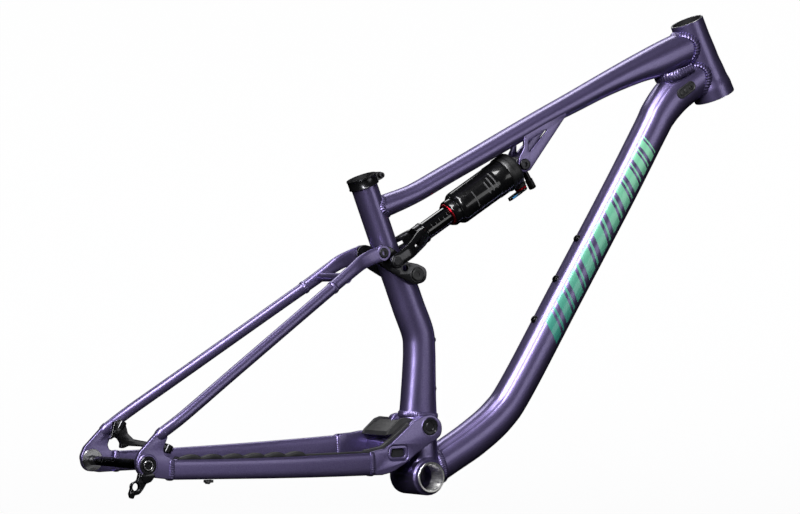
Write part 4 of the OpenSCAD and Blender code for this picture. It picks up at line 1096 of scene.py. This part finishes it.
def adjusters():
    down = -shock_up
    at = shock_point(-0.5, -7)
    barrel = [(0, 8.2), (4.2, 8.2), (4.2, 23.4), (5.2, 24.2)]
    for k in range(4):
        barrel += groove(5.2, 26 + 2.7 * k, 0.5, 1.2)
    barrel += [(5.2, 36.0), (4.5, 37.0), (0, 37.0)]
    finish_piece("valve_barrel", lathe(barrel, at, down, 48), BOLT, CAN, ["air_valve"])
    at = shock_point(12)
    housing = [(0, 15), (9.6, 15), (9.6, 20), (9.0, 20.8), (9.0, 26.2), (8.4, 27), (0, 27)]
    finish_piece("adjuster_block", lathe(housing, at, down, 56), PLASTIC, CAN,
                 ["adjuster_housing"])
    knurl = bmesh.new()
    rings = []
    for r, h in ((7.0, 27.3), (7.9, 27.9), (7.9, 29.8), (7.2, 30.3)):
        ring = []
        for k in range(96):
            a = 2 * math.pi * k / 96
            wave = r + 0.45 * math.cos(12 * a) * (1 if 27.5 < h < 30 else 0.5)
            ring.append(at + down * h + (shock_run * math.cos(a) + across(math.sin(a))) * wave)
        rings.append(ring)
    finish_piece("knob_body", bridge_rings(knurl, rings), RED, "rebound_knob", ["rebound_knob"])
    hub = lathe([(0, 30.7), (7.8, 30.7), (7.8, 33.0), (7.2, 33.7), (3.2, 33.7), (2.8, 33.0), (0, 33.0)],
                at, down, 56)
    arm = []
    for reach, half in ((3, 5.0), (10, 4.6), (17, 4.4), (21, 4.0), (23.4, 2.6), (24.2, 1.0)):
        c = at + shock_run * reach + down * 32.9
        ring = []
        for k in range(20):
            a = 2 * math.pi * k / 20
            s, u = superellipse(a, 4)
            ring.append(c + across(half * s) + down * 2.3 * u)
        arm.append(ring)
    finish_piece("lever_body", join_meshes(hub, bridge_rings(bmesh.new(), arm)), GLOSS, "lockout_lever",
                 ["lockout_lever"])
    stripe = bmesh.new()
    rows = []
    for reach in (10, 20):
        c = at + shock_run * reach + down * 32.9
        rows.append([c + across(-4.62 + 0.012 * reach) + down * u for u in (-1.2, 1.2)])
    stripe.faces.new([stripe.verts.new(p) for p in (rows[0][0], rows[0][1], rows[1][1], rows[1][0])])
    finish_piece("lever_stripe", stripe, BLUE, "lockout_lever")


def yoke():
    parts = [rod(14, 172, 186, SHOCK_PIVOT, shock_run, 56)]
    for side in (-1, 1):
        stations = [(*shock_point(174, side * 7), 9, 6, 3), (*shock_point(186, side * 15), 11, 4.8, 3),
                    (*shock_point(204, side * 26), 10, 3.8, 3), (*shock_point(219, side * 33.6), 9.4, 3.3, 3),
                    (*shock_point(230, side * 34.8), 9.2, 3.2, 3),
                    (*shock_point(244, side * 34.8), 9, 3.2, 3)]
        parts.append(tube(stations, 6, 40))
        parts.append(rod(9.4, 31.7, 37.9, YOKE_PIVOT, (0, side, 0), 48))
    slots = []
    for side in (-1, 1):
        ends = [(*shock_point(t, side * y), half, 14, 4) for t, y,
                half in ((196, 18, 3.0), (205, 26, 3.4), (211, 30, 2.2))]
        slots.append(tube(ends, 3, 24))
    body = cut_away(forged(join_meshes(*parts), 1.0, 5), join_meshes(*slots))
    finish_piece("yoke_body", body, BLACK, ROD, ["shock_yoke"], 50)
    collar = [(12.6, 170.6), (13.6, 170.8), (14.4, 172), (14.4, 174.5), (14.0, 175.2), (12.6, 175.2)]
    finish_piece("yoke_collar", lathe(collar, SHOCK_PIVOT, shock_run, 72, True), SHAFT, ROD)
    heads = [socket_bolt(YOKE_PIVOT + across(side * 37.7), (0, side, 0), 6.4, 0.9, 3.0) for side in (-1, 1)]
    pins = [rod(3.5, 25, 38, YOKE_PIVOT, (0, side, 0), 32) for side in (-1, 1)]
    finish_piece("yoke_bolts", join_meshes(*heads, *pins), BOLT, ROD, ["yoke_pivot_bolts"])


def carried_over():
    """Procedural materials for the CAD pieces that stay: bearings, bushes, axle, piston and boss."""
    for name, material in (("main_pivot_bearings", SILVER), ("main_pivot_axle", SILVER),
                           ("rocker_bearings", SILVER),
                           ("rocker_rear_bushes", SILVER), ("shock_bush", SILVER), ("shock_piston", SILVER),
                           ("rocker_pivot_boss", PAINT)):
        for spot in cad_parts[name].material_slots:
            spot.link = "OBJECT"
            spot.material = material


# ---------------------------------------------------------------- studio
def floor_material():
    m = Nodes("studio_sweep", (0.9, 0.9, 0.9), 0.9, 0.0)
    m.bump(m.noise(3.0), 0.0005, 0.1)
    m.set(Emission_Color=(1, 1, 1, 1), Emission_Strength=0.9)
    return m.material


def studio_floor():
    """A pale round floor well below the frame that curves up into a wall all round it."""
    section = [(0.01, -0.7), (7.8, -0.7)]
    section += [(7.8 + 2.2 * math.sin(t), 1.5 - 2.2 * math.cos(t))
                for t in (math.pi / 2 * k / 12 for k in range(1, 13))]
    section += [(10.0, 9.0)]
    bm = lathe(section, (0, 0, 0), (0, 0, 1), 96)
    for face in bm.faces:
        face.smooth = True
    mesh = bpy.data.meshes.new("studio_sweep")
    bm.to_mesh(mesh)
    bm.free()
    mesh.materials.append(floor_material())
    obj = bpy.data.objects.new("studio_sweep", mesh)
    bpy.context.scene.collection.objects.link(obj)
    obj.visible_glossy = False
    obj.visible_diffuse = False


def softbox(name, azimuth, elevation, distance, width, height, power, aim=(-0.02, 0, 0.28)):
    """A soft rectangular light that looks at the frame from the given direction."""
    data = bpy.data.lights.new(name, "AREA")
    data.shape = "RECTANGLE"
    data.size, data.size_y = width, height
    data.energy = power
    light = bpy.data.objects.new(name, data)
    bpy.context.scene.collection.objects.link(light)
    az, el = math.radians(azimuth), math.radians(elevation)
    back = Vector((math.sin(az) * math.cos(el), -math.cos(az) * math.cos(el), math.sin(el)))
    light.location = Vector(aim) + back * distance
    light.rotation_euler = back.to_track_quat("Z", "Y").to_euler()
    light.visible_camera = False


def surroundings(strength, tone):
    """Even room light: brighter overhead and dark near the horizon, as in a studio tent with a dark floor."""
    world = bpy.data.worlds.new("studio")
    bpy.context.scene.world = world
    world.use_nodes = True
    tree = world.node_tree
    place = tree.nodes.new("ShaderNodeTexCoord")
    split = tree.nodes.new("ShaderNodeSeparateXYZ")
    ramp = tree.nodes.new("ShaderNodeValToRGB")
    ramp.color_ramp.elements[0].position = 0.1
    ramp.color_ramp.elements[0].color = (*tone, 1)
    ramp.color_ramp.elements[1].position = 0.75
    ramp.color_ramp.elements[1].color = (0.9, 0.92, 1.0, 1)
    tree.links.new(place.outputs["Generated"], split.inputs["Vector"])
    tree.links.new(split.outputs["Z"], ramp.inputs["Fac"])
    tree.links.new(ramp.outputs["Color"], tree.nodes["Background"].inputs["Color"])
    tree.nodes["Background"].inputs["Strength"].default_value = strength


CAMERA_AZIMUTH = math.radians(-30.64)
CAMERA_ELEVATION = math.radians(0.26)
CAMERA_ROLL = math.radians(-0.746)
CAMERA_DISTANCE = 4.981
CAMERA_LENS = 171.36
CAMERA_TARGET = Vector((-0.0217, 0, 0.2875))


def camera():
    az, el, roll = CAMERA_AZIMUTH, CAMERA_ELEVATION, CAMERA_ROLL
    back = Vector((math.sin(az) * math.cos(el), -math.cos(az) * math.cos(el), math.sin(el)))
    right = Vector((math.cos(az), math.sin(az), 0))
    up = back.cross(right)
    sideways = right * math.cos(roll) + up * math.sin(roll)
    above = up * math.cos(roll) - right * math.sin(roll)
    data = bpy.data.cameras.new("camera")
    data.lens = CAMERA_LENS
    data.sensor_width = 36
    obj = bpy.data.objects.new("camera", data)
    bpy.context.scene.collection.objects.link(obj)
    turn = Matrix((sideways, above, back)).transposed().to_4x4()
    obj.matrix_world = Matrix.Translation(CAMERA_TARGET + back * CAMERA_DISTANCE) @ turn
    bpy.context.scene.camera = obj


for build in (head_tube, top_tube, down_tube, seam_weld, seat_tube, bb_forging, seat_collar, bottle_bolts,
              cable_port,
              shock_mount, frame_graphics, chainstays, arms, dropouts, hanger, brake_mount, stay_guard,
              mud_flap,
              clip, seatstays, rocker, shock_can, shock_rod, adjusters, yoke, carried_over, studio_floor):
    build()

softbox("key_strip", -43, 21, 3.2, 0.45, 2.0, 105)
softbox("top_light", -46, 50, 3.0, 1.9, 0.8, 60)
softbox("side_fill", 30, 6, 4.0, 1.8, 1.2, 12)
softbox("rear_light", 165, 50, 3.4, 2.4, 1.2, 34)
surroundings(0.04, (0.03, 0.03, 0.035))
camera()
bpy.context.scene.view_settings.view_transform = "Standard"
